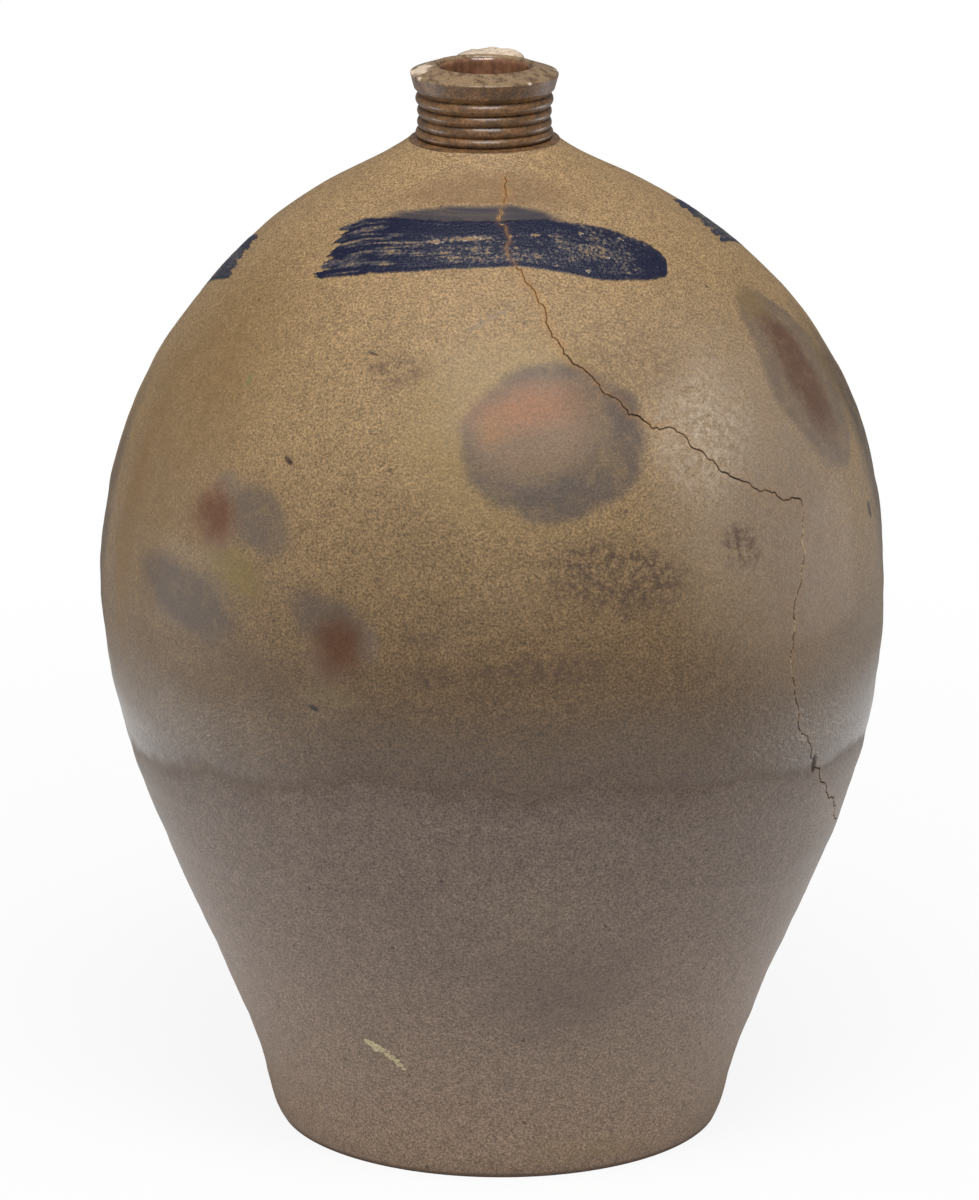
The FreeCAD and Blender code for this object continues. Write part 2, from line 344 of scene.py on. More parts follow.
def turned(name, outline, steps, centre_x=0.0):
    """Extrudes an outline of (radius, height) points from one point and spins it into a closed skin."""
    bpy.ops.object.select_all(action="DESELECT")
    radius, height = outline[0]
    bpy.ops.mesh.primitive_plane_add(size=0.001, location=(centre_x + radius, 0, height))
    piece = bpy.context.object
    piece.name = name
    piece.data.name = name
    bpy.ops.object.transform_apply(location=True, rotation=True, scale=True)
    bpy.ops.object.mode_set(mode="EDIT")
    bpy.ops.mesh.select_all(action="SELECT")
    bpy.ops.mesh.merge(type="CENTER")
    for (r0, z0), (r1, z1) in zip(outline, outline[1:]):
        step = {"value": (r1 - r0, 0, z1 - z0)}
        bpy.ops.mesh.extrude_vertices_move(TRANSFORM_OT_translate=step)
    bpy.ops.mesh.select_all(action="SELECT")
    bpy.ops.mesh.spin(steps=steps, angle=2 * math.pi, center=(centre_x, 0, 0), axis=(0, 0, 1))
    bpy.ops.mesh.select_all(action="SELECT")
    bpy.ops.mesh.remove_doubles(threshold=0.00001)
    bpy.ops.mesh.normals_make_consistent(inside=False)
    bpy.ops.object.mode_set(mode="OBJECT")
    return piece


def points_of(piece):
    """The piece's points as an array."""
    points = np.empty(len(piece.data.vertices) * 3)
    piece.data.vertices.foreach_get("co", points)
    return points.reshape(-1, 3)


def put_points(piece, points):
    """Moves the piece's points to new places."""
    piece.data.vertices.foreach_set("co", points.ravel())
    piece.data.update()


def paint(piece, name, values):
    """Stores one number for each point, which a material reads by its name."""
    layer = piece.data.attributes.new(name, "FLOAT", "POINT")
    layer.data.foreach_set("value", np.asarray(values, np.float32))


def smooth(piece, degrees=40):
    """Smooth shading that keeps edges sharper than an angle."""
    activate(piece)
    bpy.ops.object.shade_smooth_by_angle(angle=math.radians(degrees))


def report(piece):
    """Prints a piece's size in mm and its number of triangles."""
    low = points_of(piece).min(0) * 1000
    high = points_of(piece).max(0) * 1000
    triangles = sum(len(face.vertices) - 2 for face in piece.data.polygons)
    print(piece.name, "mm", np.round(high - low, 1), "triangles", triangles)


# %% [markdown]
# ## The two walls
# Both walls use the same steps. The outline is spun with the true curve. Then the faces along the crack
# are subdivided, so that a groove less than a millimetre wide has enough points. Last, every outer point
# is set on the measured curve plus the hand marks, less the depth of the crack. Each point also keeps how
# close it is to the crack, for the stain beside it.

# %% Throw the lower and the upper wall
WHEEL_STEPS = 360
CRACK_HALF_WIDTH = 0.34 * MM
CRACK_DEPTH = 0.9 * MM


def levels(low, high, spacing):
    """Evenly spaced heights from low to high."""
    return list(np.linspace(low, high, 2 + int((high - low) / spacing)))


def open_crack(piece):
    """Subdivides the faces along the crack, so that the groove can be narrow."""
    points = points_of(piece)
    gap, _ = distance_to_crack(points)
    skin = np.hypot(points[:, 0], points[:, 1]) > inner_radius(points[:, 2]) + 4 * MM
    close = (gap < 4.5 * MM) & skin
    if not close.any():
        return
    activate(piece)
    bpy.ops.object.mode_set(mode="EDIT")
    bpy.ops.mesh.select_all(action="DESELECT")
    bpy.ops.object.mode_set(mode="OBJECT")
    for face in piece.data.polygons:
        face.select = all(close[i] for i in face.vertices)
    bpy.ops.object.mode_set(mode="EDIT")
    bpy.ops.mesh.subdivide(number_cuts=7)
    bpy.ops.object.mode_set(mode="OBJECT")


def shape_skin(piece, floor_of_skin):
    """Sets the outer points on the measured curve with its hand marks, and cuts the crack and the flake."""
    points = points_of(piece)
    x, y, z = points.T
    centre = drift(z)
    radius = np.hypot(x, y)
    azimuth = np.arctan2(x, -y)
    outer = radius > (outer_radius(z) + inner_radius(z)) / 2
    outer &= z > floor_of_skin
    true_radius = outer_radius(z) + hand_marks(azimuth, z)
    new_radius = np.where(outer, true_radius, radius)
    ring = outer_radius(z)
    on_curve = np.stack([centre + ring * np.sin(azimuth), -ring * np.cos(azimuth), z], 1)
    on_skin = np.stack([centre + new_radius * np.sin(azimuth), -new_radius * np.cos(azimuth), z], 1)
    gap, along = distance_to_crack(on_curve)
    gap = np.where(outer, gap, 1.0)
    width = CRACK_HALF_WIDTH * (0.75 + 0.45 * np.sin(along * 90) * np.sin(along * 37 + 1))
    width = width * (0.55 + 0.45 * np.clip(along / 0.35, 0, 1))
    groove = np.clip(1 - gap / np.maximum(width, 0.2 * MM), 0, 1)
    flake_place = on_wall(FLAKE[0], FLAKE[1] * MM)
    flake_side = Vector((math.cos(math.radians(FLAKE[0])), math.sin(math.radians(FLAKE[0])), 0))
    side = (on_skin - np.array(flake_place)) @ np.array(flake_side)
    rise = z - flake_place.z
    flake = np.clip(1 - np.hypot(side / (1.7 * MM), (rise + side) / (4.2 * MM)), 0, 1)
    depth = np.maximum(groove * CRACK_DEPTH, np.minimum(flake * 2, 1) * 1.1 * MM)
    new_radius = np.where(outer, new_radius - depth, new_radius)
    points = np.stack([centre + new_radius * np.sin(azimuth), -new_radius * np.cos(azimuth), z], 1)
    put_points(piece, points)
    dark = np.maximum(np.clip(1.35 - gap / np.maximum(width, 0.25 * MM), 0, 1), np.minimum(flake * 3, 1))
    paint(piece, "crack", np.where(outer, dark, 0))
    paint(piece, "stain", np.where(outer, np.clip(1 - gap / (5 * MM), 0, 1), 0))
    paint(piece, "along", along)


def wall_outline(low, high, spacing, floor_ring=None):
    """The outline of one wall: up the outside, over the rim, down the inside and back to the start."""
    outside = [(float(outer_radius(z)), float(z)) for z in levels(low, high, spacing)]
    inner_low = inner_heights[0] if floor_ring else low
    inside = [(float(inner_radius(z)), float(z)) for z in levels(inner_low, high, 4 * spacing)]
    outline = outside + inside[::-1]
    if floor_ring:
        outline += [(floor_ring, floor_top), (floor_ring, low)]
    return outline + outline[:1]


def neck_lines(height):
    """Three fine tooled lines round the top of the shoulder, just under the neck."""
    lines = 0 * height
    for line_z in (389.3, 387.0, 384.8):
        lines = lines + 0.42 * MM * np.exp(-(((height - line_z * MM) / (0.6 * MM)) ** 2))
    return lines


floor_radius = (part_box("base_floor")[1].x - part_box("base_floor")[0].x) / 2
lower_wall = turned("lower_wall_clay", wall_outline(0.0, join_z, 2.4 * MM, floor_radius), WHEEL_STEPS)
open_crack(lower_wall)
shape_skin(lower_wall, -1)
smooth(lower_wall)
report(lower_wall)

upper_outline = wall_outline(join_z, shoulder_top - 9 * MM, 2.4 * MM)
fine_top = levels(shoulder_top - 8.6 * MM, shoulder_top, 0.42 * MM)
outside_count = 2 + int((shoulder_top - 9 * MM - join_z) / (2.4 * MM))
upper_outline = (
    upper_outline[:outside_count]
    + [(float(outer_radius(z) + neck_lines(z)), float(z)) for z in fine_top]
    + [(float(inner_radius(z)), float(z)) for z in levels(shoulder_top - 8 * MM, shoulder_top, 3 * MM)[::-1]]
    + upper_outline[outside_count:]
)
upper_wall = turned("upper_wall_clay", upper_outline, WHEEL_STEPS)
open_crack(upper_wall)
shape_skin(upper_wall, -1)
smooth(upper_wall)
report(upper_wall)

for wall, node in ((lower_wall, "lower_wall"), (upper_wall, "upper_wall")):
    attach(wall, "root")
    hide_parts(node)

# %% [markdown]
# ## The reeded spout
# The neck is one short ring of clay. While it turned, the potter cut four rounded reeds into it with a
# shaped tool, left a flared lip above them, and sloped the lip's top outwards so that drops run off it.
# The outline is the tool's own shape: a half wave for each reed, then straight cuts with soft corners.
# Each point also keeps how deep it lies between two reeds, because the glaze pools and browns there.

# %% The spout's outline
SPOUT_STEPS = 320
spout_low, spout_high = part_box("reeded_spout")
neck_x = (spout_low.x + spout_high.x) / 2
lip_top = spout_high.z
bore_radius = ring_of(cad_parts["reeded_spout"], lip_top - 12 * MM, True)[0]
print("bore radius, mm:", round(1000 * bore_radius, 2))

# Each reed, in mm: its foot and head under the lip's top, its groove's radius and its crest's radius.
REEDS = [
    (28.2, 24.5, 25.0, 26.3), (24.4, 20.3, 24.8, 25.8),
    (20.1, 15.8, 24.7, 25.9), (15.6, 10.9, 25.1, 26.5),
]


def reed(foot, head, groove, crest):
    """The outline of one rounded reed, from its lower groove to its upper one."""
    points = []
    for step in range(11):
        share = step / 10
        radius = groove + (crest - groove) * math.sin(math.pi * share) ** 0.75
        points.append((radius * MM, lip_top - (foot + (head - foot) * share) * MM))
    return points


def straight(start, end, pieces):
    """Evenly spaced points after the start, up to the end."""
    (r0, z0), (r1, z1) = start, end
    return [(r0 + (r1 - r0) * i / pieces, z0 + (z1 - z0) * i / pieces) for i in range(1, pieces + 1)]


def soft_corner(centre, radius, start, end, pieces=6):
    """Points of an arc. The angles are in degrees from the outward direction."""
    turns = [math.radians(start + (end - start) * i / pieces) for i in range(pieces + 1)]
    return [(centre[0] + radius * math.cos(turn), centre[1] + radius * math.sin(turn)) for turn in turns]


spout_outline = [(float(outer_radius(shoulder_top)), shoulder_top)]
for shape in REEDS:
    spout_outline += reed(*shape)
spout_outline += straight(spout_outline[-1], (26.9 * MM, lip_top - 8.9 * MM), 5)
spout_outline += straight(spout_outline[-1], (28.3 * MM, lip_top - 3.7 * MM), 14)
spout_outline += soft_corner((27.75 * MM, lip_top - 3.45 * MM), 0.6 * MM, -10, 74)
spout_outline += straight(spout_outline[-1], (19.9 * MM, lip_top - 0.12 * MM), 16)
spout_outline += soft_corner((bore_radius + 1.6 * MM, lip_top - 1.6 * MM), 1.6 * MM, 78, 180, 9)
spout_outline += straight(spout_outline[-1], (bore_radius, shoulder_top + 6 * MM), 8)
spout_outline += straight(spout_outline[-1], (float(inner_radius(shoulder_top)), shoulder_top), 6)
spout_outline += straight(spout_outline[-1], spout_outline[0], 4)

# %% Throw the spout and wear its lip
# Each nick: azimuth in degrees, size and depth in mm.
NICKS = [(-84, 2.6, 0.8), (-62, 1.7, 0.5), (38, 1.2, 0.3), (97, 2.0, 0.6), (-150, 2.4, 0.7), (151, 1.6, 0.5)]
LIP_RADIUS = 28.2 * MM


def fade(values, low, high):
    """A smooth step from 0 to 1 as the values go from low to high."""
    share = np.clip((values - low) / (high - low), 0, 1)
    return share * share * (3 - 2 * share)


spout = turned("spout_clay", spout_outline, SPOUT_STEPS, neck_x)
x, y, z = points_of(spout).T
azimuth = np.arctan2(x - neck_x, -y)
radius = np.hypot(x - neck_x, y)
share = np.clip((z - shoulder_top) / (lip_top - shoulder_top), 0, 1)
outside = radius > 22 * MM
below_lip = fade(lip_top - z, 9.5 * MM, 11.5 * MM)
between = below_lip * fade(z, shoulder_top + 0.9 * MM, shoulder_top + 1.8 * MM)
groove = np.where(outside, between * (1 - fade(radius, 24.9 * MM, 25.6 * MM)), 0)
z = z - share * 0.25 * MM * (1 + (x - neck_x) / LIP_RADIUS)
z = z + outside * 0.12 * MM * np.sin(3 * azimuth + 1) * share * (1 - share) * 4
radius = radius + outside * MM * (0.10 * np.sin(2 * azimuth + z * 300) + 0.05 * np.sin(7 * azimuth))
wear = np.zeros(len(z))
for where, size, deep in NICKS:
    turn = math.radians(where)
    nick = np.array([LIP_RADIUS * math.sin(turn), -LIP_RADIUS * math.cos(turn), lip_top - 3.2 * MM])
    place = np.stack([radius * np.sin(azimuth), -radius * np.cos(azimuth), z], 1)
    near = 1 - fade(np.linalg.norm(place - nick, axis=1), 0, size * MM)
    z = z - near * deep * 0.6 * MM
    radius = radius - near * deep * MM
    wear = np.maximum(wear, np.clip(near * 1.6, 0, 1))
put_points(spout, np.stack([neck_x + radius * np.sin(azimuth), -radius * np.cos(azimuth), z], 1))
paint(spout, "wear", wear)
paint(spout, "groove", groove)
smooth(spout, 50)
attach(spout, "root")
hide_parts("reeded_spout")
report(spout)

# %% [markdown]
# ## The slip inside
# Salt vapour hardly reaches the inside of a closed jug, so the potter swilled it with brown clay slip.
# The slip is a skin of about half a millimetre on the whole inside, up through the neck to the lip.
# It is turned as one thin closed shell whose outline starts and ends on the axis.

# %% Pour the slip lining
lining_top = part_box("slip_lining")[1].z
mouth_radius = ring_of(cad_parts["slip_lining"], lip_top - 12 * MM, True)[0]
slip = 0.6 * MM  # its thickness
clay = [(0.0, floor_top), (floor_radius, floor_top)]
clay += [(float(inner_radius(z)), z) for z in levels(inner_heights[0], shoulder_top, 5 * MM)]
clay += [(bore_radius, shoulder_top + 6 * MM), (bore_radius, lining_top)]
skin = [(0.0, floor_top + slip), (floor_radius - slip, floor_top + slip)]
skin += [(float(inner_radius(z)) - slip, z) for z in levels(inner_heights[0], shoulder_top, 5 * MM)]
skin += [(mouth_radius, z) for z in levels(shoulder_top + 6 * MM, lining_top - 1.2 * MM, 1.2 * MM)]
skin += [(mouth_radius + 0.2 * MM, lining_top - 0.4 * MM)]
lining = turned("slip_lining_coat", skin + clay[::-1], 200)

points = points_of(lining)
height = points[:, 2]
turn = np.arctan2(points[:, 0], -points[:, 1])
in_neck = fade(height, shoulder_top + 2 * MM, shoulder_top + 12 * MM)
on_face = np.hypot(points[:, 0], points[:, 1]) < bore_radius - 0.2 * MM
runs = 0.10 * MM * in_neck * on_face * np.sin(9 * turn + 2) * np.sin(4 * turn)
points[:, 0] += np.where(height > shoulder_top + 5 * MM, neck_x, drift(height)) + runs * np.sin(turn)
points[:, 1] -= runs * np.cos(turn)
put_points(lining, points)
smooth(lining, 60)
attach(lining, "root")
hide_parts("slip_lining")
report(lining)

# %% [markdown]
# ## The foot, cut from the wheel
# The finished jug was cut off the turning wheel with a twisted wire. The wire leaves a family of curved
# ridges under the foot, like the lines of a shell. They are bare clay, because the jug stood on them
# in the kiln. The ridges are one wave of the distance from a point beside the foot.

# %% Cut the floor with a wire
base_low, base_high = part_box("base_floor")
floor_x = (base_low.x + base_high.x) / 2
WIRE_PITCH = 3.4 * MM
WIRE_DEPTH = 0.4 * MM
SHELL_CENTRE = (-0.05, -0.16)


def wire_cut(x, y):
    """How high the wire's ridges lift the clay under the foot."""
    reach = np.hypot(x - SHELL_CENTRE[0], (y - SHELL_CENTRE[1]) * 0.8)
    wave = np.sin(2 * math.pi * reach / WIRE_PITCH + 1.5 * np.sin(x * 60))
    return WIRE_DEPTH * (0.5 + 0.5 * wave) ** 1.5


bottom = [(0.0, 0.0)] + [(radius, 0.0) for radius in levels(1.0 * MM, floor_radius, 1.0 * MM)]
base = turned("base_floor_clay", bottom + [(floor_radius, floor_top), (0.0, floor_top)], 300, floor_x)
points = points_of(base)
under = points[:, 2] < 0.5 * MM
points[:, 2] += under * wire_cut(points[:, 0], points[:, 1])
put_points(base, points)
smooth(base)
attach(base, "root")
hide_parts("base_floor")
report(base)

# %% [markdown]
# ## The strap handle
# A handle is pulled from a lump of wet clay into a long flat strap, and only then bent into its arch.
# It is made here in the same order: an oval slice is extruded into a straight strap, and a rule then
# presses two finger flutes into it and bends it along its arch, from the neck over to the shoulder.
# The top of the arch is the first thing a shelf or a hand rubs, so it is broken into pale worn facets.

# %% Pull the strap
handle_low, handle_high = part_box("handle_strap")
handle_x = (handle_low.x + handle_high.x) / 2
crown_z = handle_high.z
# The arch's middle line, in mm: how far behind the jug's axis, and how far under the crown.
ARCH = [(19.5, 17.5), (31, 12.2), (44, 6.0), (58, 6.0), (71, 14.6), (81, 29), (87, 46), (89.5, 65)]
STRAP_SLICES = 110
STRAP_SIDES = 56
STRAP_HALF_WIDTH = 13.4 * MM
STRAP_HALF_THICK = 5.0 * MM

arch_y = np.array([behind for behind, _ in ARCH]) * MM
arch_z = crown_z - np.array([under for _, under in ARCH]) * MM
arch_length = np.concatenate([[0], np.cumsum(np.hypot(np.diff(arch_y), np.diff(arch_z)))])
strap_length = arch_length[-1]
arch_y_at, arch_z_at = smooth_line(arch_length, arch_y), smooth_line(arch_length, arch_z)

bpy.ops.object.select_all(action="DESELECT")
bpy.ops.mesh.primitive_circle_add(vertices=STRAP_SIDES, radius=1, fill_type="NGON")
strap = bpy.context.object
strap.name = "handle_strap_clay"
strap.scale = (STRAP_HALF_WIDTH, STRAP_HALF_THICK, 1)
bpy.ops.object.transform_apply(location=True, rotation=True, scale=True)
bpy.ops.object.mode_set(mode="EDIT")
bpy.ops.mesh.select_all(action="SELECT")
for _ in range(STRAP_SLICES):
    slice_step = {"value": (0, 0, strap_length / STRAP_SLICES)}
    bpy.ops.mesh.extrude_region_move(TRANSFORM_OT_translate=slice_step)
bpy.ops.mesh.select_all(action="SELECT")
bpy.ops.mesh.normals_make_consistent(inside=False)
bpy.ops.object.mode_set(mode="OBJECT")
print("strap length, mm:", round(1000 * strap_length))


# %% Flute and bend the strap
def clay_noise(points, size, seed):
    """Fractal noise from about -1 to 1 at each point, with features of a given size."""
    shift = Vector((seed, seed * 0.7, -seed))
    return np.array([noise.fractal(Vector(point) / size + shift, 1.0, 2.0, 3) for point in points])


def bend_strap(points):
    """Bends the straight strap along its arch. The strap's Y is the outer side of the arch."""
    across, up, s = points.T
    share = s / strap_length
    flat = across / STRAP_HALF_WIDTH
    root = np.exp(-((share / 0.10) ** 2))
    tail = np.exp(-(((1 - share) / 0.16) ** 2))
    flutes = np.exp(-(((flat - 0.36) / 0.17) ** 2)) + np.exp(-(((flat + 0.36) / 0.17) ** 2))
    up = up * (1 + 0.25 * root - 0.12 * tail)
    up = up - np.clip(up / STRAP_HALF_THICK, 0, 1) * flutes * 0.8 * MM * (1 - root)
    across = across * (1 + 0.08 * root + 0.12 * tail - 0.04 * np.sin(share * 9))
    across = across + 0.4 * MM * np.sin(share * 7)
    ahead_y = arch_y_at(s + 0.5 * MM) - arch_y_at(s - 0.5 * MM)
    ahead_z = arch_z_at(s + 0.5 * MM) - arch_z_at(s - 0.5 * MM)
    ahead = np.hypot(ahead_y, ahead_z)
    y = arch_y_at(s) - up * ahead_z / ahead
    z = arch_z_at(s) + up * ahead_y / ahead
    return np.stack([handle_x + across, y, z], 1)


def chip_crown(points):
    """Breaks the worn top of the arch into shallow facets, and tells how worn each point is."""
    x, y, z = points.T
    crown = np.exp(-(((y - 48 * MM) / (17 * MM)) ** 2)) * fade(z, crown_z - 6 * MM, crown_z - 1 * MM)
    facet = fade(clay_noise(points, 8 * MM, 3.1), -0.12, 0.08)
    grit = clay_noise(points, 1.8 * MM, 8.2)
    off = crown * MM * (facet * 0.8 + 0.22 * grit)
    off = off + crown * 0.9 * MM * fade(handle_x - x, 7 * MM, 10.5 * MM)
    off = off + crown * 0.7 * MM * np.exp(-(((x - handle_x + 1 * MM) / (2.2 * MM)) ** 2))
    return np.stack([x, y, np.minimum(z - off, crown_z)], 1), np.clip(crown * 1.3, 0, 1)


points, worn = chip_crown(bend_strap(points_of(strap)))
points[:, 0] += 0.22 * MM * clay_noise(points, 14 * MM, 5.0)
put_points(strap, points)
paint(strap, "wear", worn)
smooth(strap, 60)
report(strap)

# %% [markdown]
# ## Wads of clay at the handle's ends
# A strap that is only stuck on would crack off while it dries. The potter packs a small wad into the
# angle under its root, and presses its tail into a pad on the shoulder, which keeps three thumb dents.
# Each wad starts as a ball, because that is how a potter starts it. It is flattened, kneaded and pressed.

# %% Press the two wads
def ball_of_clay(name, radii, seed):
    """A flattened ball with a kneaded surface, centred on the origin."""
    bpy.ops.object.select_all(action="DESELECT")
    bpy.ops.mesh.primitive_uv_sphere_add(segments=96, ring_count=48, radius=1)
    ball = bpy.context.object
    ball.name = name
    ball.scale = radii
    bpy.ops.object.transform_apply(location=True, rotation=True, scale=True)
    points = points_of(ball)
    put_points(ball, points * (1 + 0.05 * clay_noise(points, 7 * MM, seed))[:, None])
    return ball


def press_on(ball, tilt, place):
    """Tips the ball forwards or back and presses it where it belongs."""
    tipped = points_of(ball) @ np.array(Matrix.Rotation(math.radians(tilt), 3, "X").transposed())
    put_points(ball, tipped + np.array(place))
    paint(ball, "wear", np.zeros(len(tipped)))
    smooth(ball, 70)
    report(ball)


upper_wad = ball_of_clay("handle_upper_wad_clay", (12.2 * MM, 8.8 * MM, 6.6 * MM), 2.0)
press_on(upper_wad, 40, (handle_x, 29 * MM, lip_top - 26.5 * MM))

lower_pad = ball_of_clay("handle_lower_pad_clay", (20.2 * MM, 18.2 * MM, 6.2 * MM), 6.0)
points = points_of(lower_pad)
top_side = fade(points[:, 2], 0, 3 * MM)
for dent_x, dent_y, wide in ((-11.5, 7, 5.0), (0.5, 12.5, 5.5), (12, 6.5, 5.0)):
    reach = np.hypot(points[:, 0] - dent_x * MM, (points[:, 1] - dent_y * MM) * 0.8) / (wide * MM)
    points[:, 2] -= top_side * 1.5 * MM * np.exp(-(reach**2))
drag_marks = np.sin(points[:, 0] * 1400) * fade(points[:, 1], 0, 14 * MM)
points[:, 2] += top_side * 0.18 * MM * drag_marks
put_points(lower_pad, points)
press_on(lower_pad, -43, (handle_x, 90.5 * MM, lip_top - 68.5 * MM))

for piece, node in (
    (strap, "handle_strap"), (upper_wad, "handle_upper_wad"), (lower_pad, "handle_lower_pad"),
):
    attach(piece, "root")
    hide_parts(node)

# %% [markdown]
# ## The cobalt brush strokes
# Cobalt slip was brushed on the dry jug before firing. It is a thin raised coat: thick and blistered
# where the brush was full, streaked and ragged where it ran dry, with a faint blue haze above it.
# Each stroke is a fine grid that stands in front of the shoulder. The faces outside the brush's mark
# are deleted, the rest is laid on the measured wall, and a Solidify modifier gives the coat its body.
# The UV map keeps the place along and across the stroke, so that bristle streaks follow the brush.

# %% The outline of a stroke
def edge_line(stops):
    """A height for each X along the stroke, from (azimuth in degrees, height in mm) places on the wall."""
    places = [on_wall(azimuth, height * MM) for azimuth, height in stops]
    across = [place.x for place in places]
    up = [place.z for place in places]
    return lambda x: np.interp(x, across, up)


front_low = edge_line([
    (-53.2, 349.6), (-44.4, 350.9), (-30.8, 355), (-10.1, 358.3), (8.4, 359.2), (18.7, 356.7),
    (27.4, 353.3), (42.3, 351), (46, 351.4), (48.6, 352.6), (50.2, 354.1), (50.8, 355.4),
])
front_high = edge_line([
    (-57, 359), (-53, 366.2), (-45, 370.2), (-34.2, 371.8), (-14, 372.2), (8, 372.4), (22.5, 372.2),
    (39.5, 368.4), (45, 365.4), (49, 362.4), (51.1, 359.6), (51.5, 357.4), (50.8, 355.4),
])
front_haze = edge_line([
    (-45, 370.2), (-34.2, 374), (-14.5, 376.8), (11, 377.2), (22.5, 375), (33, 370),
])
SIDE_HALF_LENGTH = 39 * MM
SIDE_HALF_WIDTH = 16.5 * MM
SIDE_SLOPE = 26  # degrees that a side stroke falls towards the back


def side_low(x):
    """Lower edge of a side stroke, before it is turned round the jug."""
    return SIDE_HALF_WIDTH * (-0.80 - 0.35 * (x / SIDE_HALF_LENGTH) ** 2)


def side_high(x):
    """Upper edge of a side stroke, which falls to the lower one at both ends."""
    end = fade(np.abs(x) / SIDE_HALF_LENGTH, 0.86, 1.0)
    return SIDE_HALF_WIDTH * (0.42 - 0.68 * (x / SIDE_HALF_LENGTH) ** 2) * (1 - end) + side_low(x) * end


# %% The brush's bristles and blisters
CELL_ALONG = 0.5 * MM
CELL_UP = 0.3 * MM
COAT = 0.30 * MM
# Blisters of the front stroke: place along X in mm, share across, length and width in mm.
BLISTERS = [
    (-21, 0.57, 3.6, 0.8), (-9, 0.63, 5.6, 0.9), (16, 0.69, 2.8, 0.6), (33, 0.82, 1.5, 0.5),
    (48, 0.86, 2.2, 0.5), (7, 0.66, 1.0, 0.9), (9, 0.42, 0.9, 0.8), (36, 0.14, 1.0, 0.6),
    (2, 0.24, 0.9, 0.4), (43, 0.45, 1.0, 0.5),
]


def bristles(across, seed):
    """The pattern of single bristles over the width of the brush, from -1 to 1."""
    wide = 0.5 * np.sin(across * 31 + seed) + 0.3 * np.sin(across * 57 + 2 * seed)
    return wide + 0.2 * np.sin(across * 97)


# %% Brush a stroke on a flat grid
def brush(name, node, low_edge, high_edge, haze_edge=None, turn=0.0, dry_side=-1):
    """Brushes one stroke on a flat grid. The turn, in degrees, is how far round the jug it will sit."""
    if turn == 0:
        box_low, box_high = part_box(node)
        half_length = (box_high.x - box_low.x) / 2 + 1 * MM
        centre_x = (box_low.x + box_high.x) / 2
        bottom, top = box_low.z - 2 * MM, box_high.z + 3 * MM
    else:
        half_length = SIDE_HALF_LENGTH + 1 * MM
        centre_x = 0.0
        bottom, top = -1.25 * SIDE_HALF_WIDTH, 0.6 * SIDE_HALF_WIDTH
    columns = int(2 * half_length / CELL_ALONG)
    rows = int((top - bottom) / CELL_UP)
    bpy.ops.object.select_all(action="DESELECT")
    bpy.ops.mesh.primitive_grid_add(x_subdivisions=columns, y_subdivisions=rows, size=1)
    stroke = bpy.context.object
    stroke.name = name
    stroke.scale = (2 * half_length, top - bottom, 1)
    bpy.ops.object.transform_apply(location=True, rotation=True, scale=True)

    points = points_of(stroke)
    x = points[:, 0] + centre_x
    up = points[:, 1] + (bottom + top) / 2
    low, high = low_edge(x), high_edge(x)
    across = (up - low) / np.maximum(high - low, 2 * MM)
    place = np.stack([x, up, 0 * x], 1)
    grain = clay_noise(place, 1.6 * MM, turn + 1.0)
    coarse = clay_noise(place, 7 * MM, turn + 4.0)
    streaks = bristles(across, turn + 1)
    dry_end = centre_x - half_length + 4.5 * MM + (across * 12 + 3.2 * streaks) * MM
    inside = np.minimum(up - low, high - up) + 0.22 * MM * coarse
    inside = np.minimum(inside, np.where(dry_side < 0, x - dry_end, 2 * centre_x - x - dry_end) * 0.35)
    inside = inside + 0.28 * MM * grain
    painted = fade(inside, -0.1 * MM, 0.5 * MM)
    haze = np.zeros(len(x))
    if haze_edge:
        haze = fade(haze_edge(x) - up, -0.2 * MM, 1.6 * MM) * fade(up - low, 0, 2 * MM)
        haze = haze * fade(x, -48 * MM, -30 * MM) * (1 - fade(x, 18 * MM, 34 * MM))
    return stroke, x, up, across, inside, painted, haze, streaks, grain


